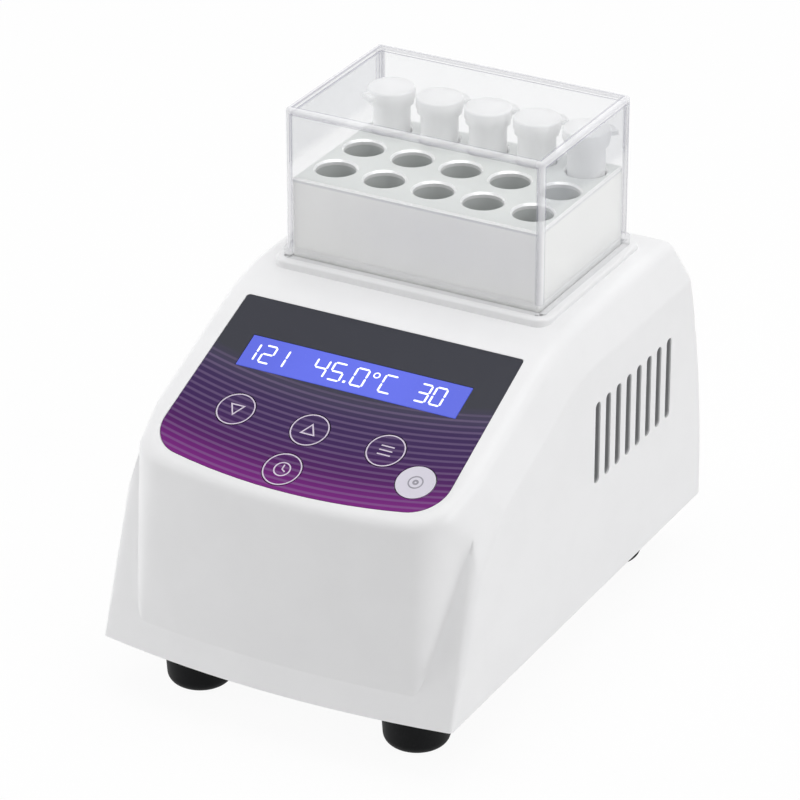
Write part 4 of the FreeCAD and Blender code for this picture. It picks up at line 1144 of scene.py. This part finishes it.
@dataclass
class Works:
    """What is inside the housing."""

    aluminium: Finish = Metal("milled_aluminium", seen(200, 202, 205), roughness=0.4)
    steel: Finish = Metal("pressed_steel", seen(178, 180, 184), roughness=0.4)
    black: Finish = Moulding("black_component", seen(30, 30, 32), roughness=0.5)
    plug: Finish = Moulding("plug_nylon", seen(226, 222, 210), roughness=0.45)
    silicone: Finish = Moulding("heater_silicone", seen(196, 96, 60), roughness=0.6)
    fibre: Finish = Moulding("fibre_board", seen(228, 224, 212), roughness=0.9, grain=0.8 * MM,
                             grain_depth=0.2 * MM, grain_strength=0.8)
    guide: Finish = Moulding("light_guide", seen(224, 228, 244), roughness=0.3)
    glass: Finish = Moulding("display_glass", seen(60, 70, 180), roughness=0.15, coat=0.5)
    board: Finish = Board("board_lacquer")
    cable: Finish = FlatCable("flat_cable")

    def build(self) -> None:
        """Dress what is inside."""
        dress(["heater_plate", "heatsink"], self.aluminium)
        dress(["heater_tray", "temperature_sensor"], self.steel)
        dress(["tray_screws", "display_screws", "main_board_screws"], self.steel)
        dress(["mosfet", "buzzer", "microcontroller", "display_header", "ribbon_header", "thermal_cutout"]
              + nodes_named("capacitor") + nodes_named("tact_switch"), self.black)
        dress(["power_connector"], self.plug)
        dress(["heater_mat"], self.silicone)
        dress(["insulation_pad"], self.fibre)
        dress(["lcd_backlight"], self.guide)
        dress(["lcd_panel"], self.glass)
        dress(["display_board", "main_board"], self.board)
        dress(["ribbon_cable"], self.cable)


@dataclass
class BackPanel:
    """The switch and the power jack on the back."""

    black: Finish = Moulding("switch_black", seen(34, 34, 36), roughness=0.4, grain=0.4 * MM)
    nickel: Finish = Metal("nickel_plate", seen(205, 203, 196), roughness=0.25)
    mark_ink: Finish = Ink("rocker_mark_ink", seen(226, 226, 224))
    mark_size: float = 3.4 * MM
    mark_line: float = 0.6 * MM

    def build(self) -> None:
        """Dress the back and mark the rocker's two sides."""
        dress(["power_switch_body", "power_rocker"], self.black)
        dress(["dc_jack", "dc_jack_nut"], self.nickel)
        on_side = Print(PrintFace.of_half("power_rocker", upper=True))
        on_side.stroke([(0.0, -self.mark_size / 2), (0.0, self.mark_size / 2)], self.mark_line)
        on_side.piece("rocker_on_mark", "rocker", "plug_white", self.mark_ink)
        off_side = Print(PrintFace.of_half("power_rocker", upper=False))
        off_side.ring(self.mark_size / 2, self.mark_line)
        off_side.piece("rocker_off_mark", "rocker", "plug_white", self.mark_ink)


# Studio


@dataclass(frozen=True)
class SoftBox:
    """A soft lamp that faces the part, and shows in its gloss or only fills."""

    name: str
    place: Place
    size: float
    power: float
    glossy: bool = True


@dataclass
class Studio:
    """A pale floor, soft light and the camera."""

    floor_size: float = 8.0
    floor_colour: Colour = (0.9, 0.9, 0.9, 1.0)
    floor_white: float = 0.94
    ambient: float = 0.25
    aim: Place = (0.0, 0.0, 0.07)
    lamps: tuple[SoftBox, ...] = (
        SoftBox("top_lamp", (0.15, 0.0, 1.3), size=1.2, power=9.8),
        SoftBox("right_lamp", (1.3, -0.1, 0.65), size=1.0, power=6.6),
        SoftBox("left_lamp", (-1.25, -0.38, 0.36), size=0.6, power=7.8, glossy=False),
        SoftBox("back_lamp", (-0.3, 1.25, 0.8), size=0.8, power=3.6, glossy=False),
    )
    camera_place: Place = (0.4840, -0.8902, 0.5829)
    azimuth: float = 28.66
    elevation: float = 27.0
    lens: float = 191.0
    sensor: float = 36.0

    def build(self) -> None:
        """Set the studio up."""
        bpy.context.scene.view_settings.view_transform = "Standard"
        self.lay_floor()
        self.fill_world()
        for lamp in self.lamps:
            self.hang(lamp)
        self.aim_camera()

    def white_rays(self, shader: Shader) -> Signal:
        """Find the rays that see the background: from the camera, off gloss and through clear pieces.

        Args:
            shader: The shader that the nodes go in.

        Returns:
            1 for those rays and 0 for the others.
        """
        rays = shader.node("ShaderNodeLightPath").outputs
        direct = Signal(shader, rays["Is Camera Ray"]) + Signal(shader, rays["Is Glossy Ray"])
        return shader.math("MINIMUM", direct + Signal(shader, rays["Is Transmission Ray"]), 1.0)

    def lay_floor(self) -> None:
        """Lay the floor, white to the eye but for the part's shadow."""
        half = self.floor_size / 2
        corners = [(-half, -half, 0), (half, -half, 0), (half, half, 0), (-half, half, 0)]
        mesh = bpy.data.meshes.new("floor")
        mesh.from_pydata(corners, [], [range(len(corners))])
        floor = bpy.data.objects.new("floor", mesh)
        bpy.context.scene.collection.objects.link(floor)
        material = bpy.data.materials.new("floor_paper")
        material.use_nodes = True
        shader = Shader(material.node_tree)
        paper = shader.node("ShaderNodeBsdfDiffuse", None, {"Color": self.floor_colour})
        white = shader.node("ShaderNodeEmission", None, {"Color": WHITE, "Strength": 1.0})
        mixed = shader.node("ShaderNodeMixShader", None, {
            0: self.white_rays(shader) * self.floor_white, 1: paper.outputs[0], 2: white.outputs[0]})
        shader.node("ShaderNodeOutputMaterial", None, {"Surface": mixed.outputs[0]})
        mesh.materials.append(material)

    def fill_world(self) -> None:
        """Surround the part with even light, white to the eye."""
        world = bpy.data.worlds.new("studio")
        world.use_nodes = True
        bpy.context.scene.world = world
        shader = Shader(world.node_tree)
        even = shader.node("ShaderNodeBackground", None, {"Color": WHITE, "Strength": self.ambient})
        white = shader.node("ShaderNodeBackground", None, {"Color": WHITE, "Strength": 1.0})
        mixed = shader.node("ShaderNodeMixShader", None, {
            0: self.white_rays(shader), 1: even.outputs[0], 2: white.outputs[0]})
        shader.node("ShaderNodeOutputWorld", None, {"Surface": mixed.outputs[0]})

    def hang(self, lamp: SoftBox) -> None:
        """Hang a lamp and turn it to the part.

        Args:
            lamp: The lamp.
        """
        light = bpy.data.lights.new(lamp.name, "AREA")
        light.size = lamp.size
        light.energy = lamp.power
        item = bpy.data.objects.new(lamp.name, light)
        item.location = lamp.place
        item.visible_glossy = lamp.glossy
        item.rotation_euler = (Vector(self.aim) - Vector(lamp.place)).to_track_quat("-Z", "Y").to_euler()
        bpy.context.scene.collection.objects.link(item)

    def aim_camera(self) -> None:
        """Place the camera at the photograph's viewing angle."""
        turn, rise = math.radians(self.azimuth), math.radians(self.elevation)
        right = Vector((math.cos(turn), math.sin(turn), 0.0))
        back = Vector((math.sin(turn) * math.cos(rise), -math.cos(turn) * math.cos(rise), math.sin(rise)))
        lens = bpy.data.cameras.new("camera")
        lens.lens = self.lens
        lens.sensor_width = self.sensor
        camera = bpy.data.objects.new("camera", lens)
        camera.matrix_world = (Matrix.Translation(self.camera_place)
                               @ Matrix((right, back.cross(right), back)).transposed().to_4x4())
        bpy.context.scene.collection.objects.link(camera)
        bpy.context.scene.camera = camera


def main() -> None:
    """Dress the part, piece by piece, and set up the studio."""
    logging.basicConfig(level=logging.INFO, format="%(message)s")
    panel = ControlPanel(PrintFace.of_film())
    for assembly in (Casing(), panel, TubeBlock(), Works(), BackPanel(), Studio()):
        assembly.build()


if __name__ == "__main__":
    main()
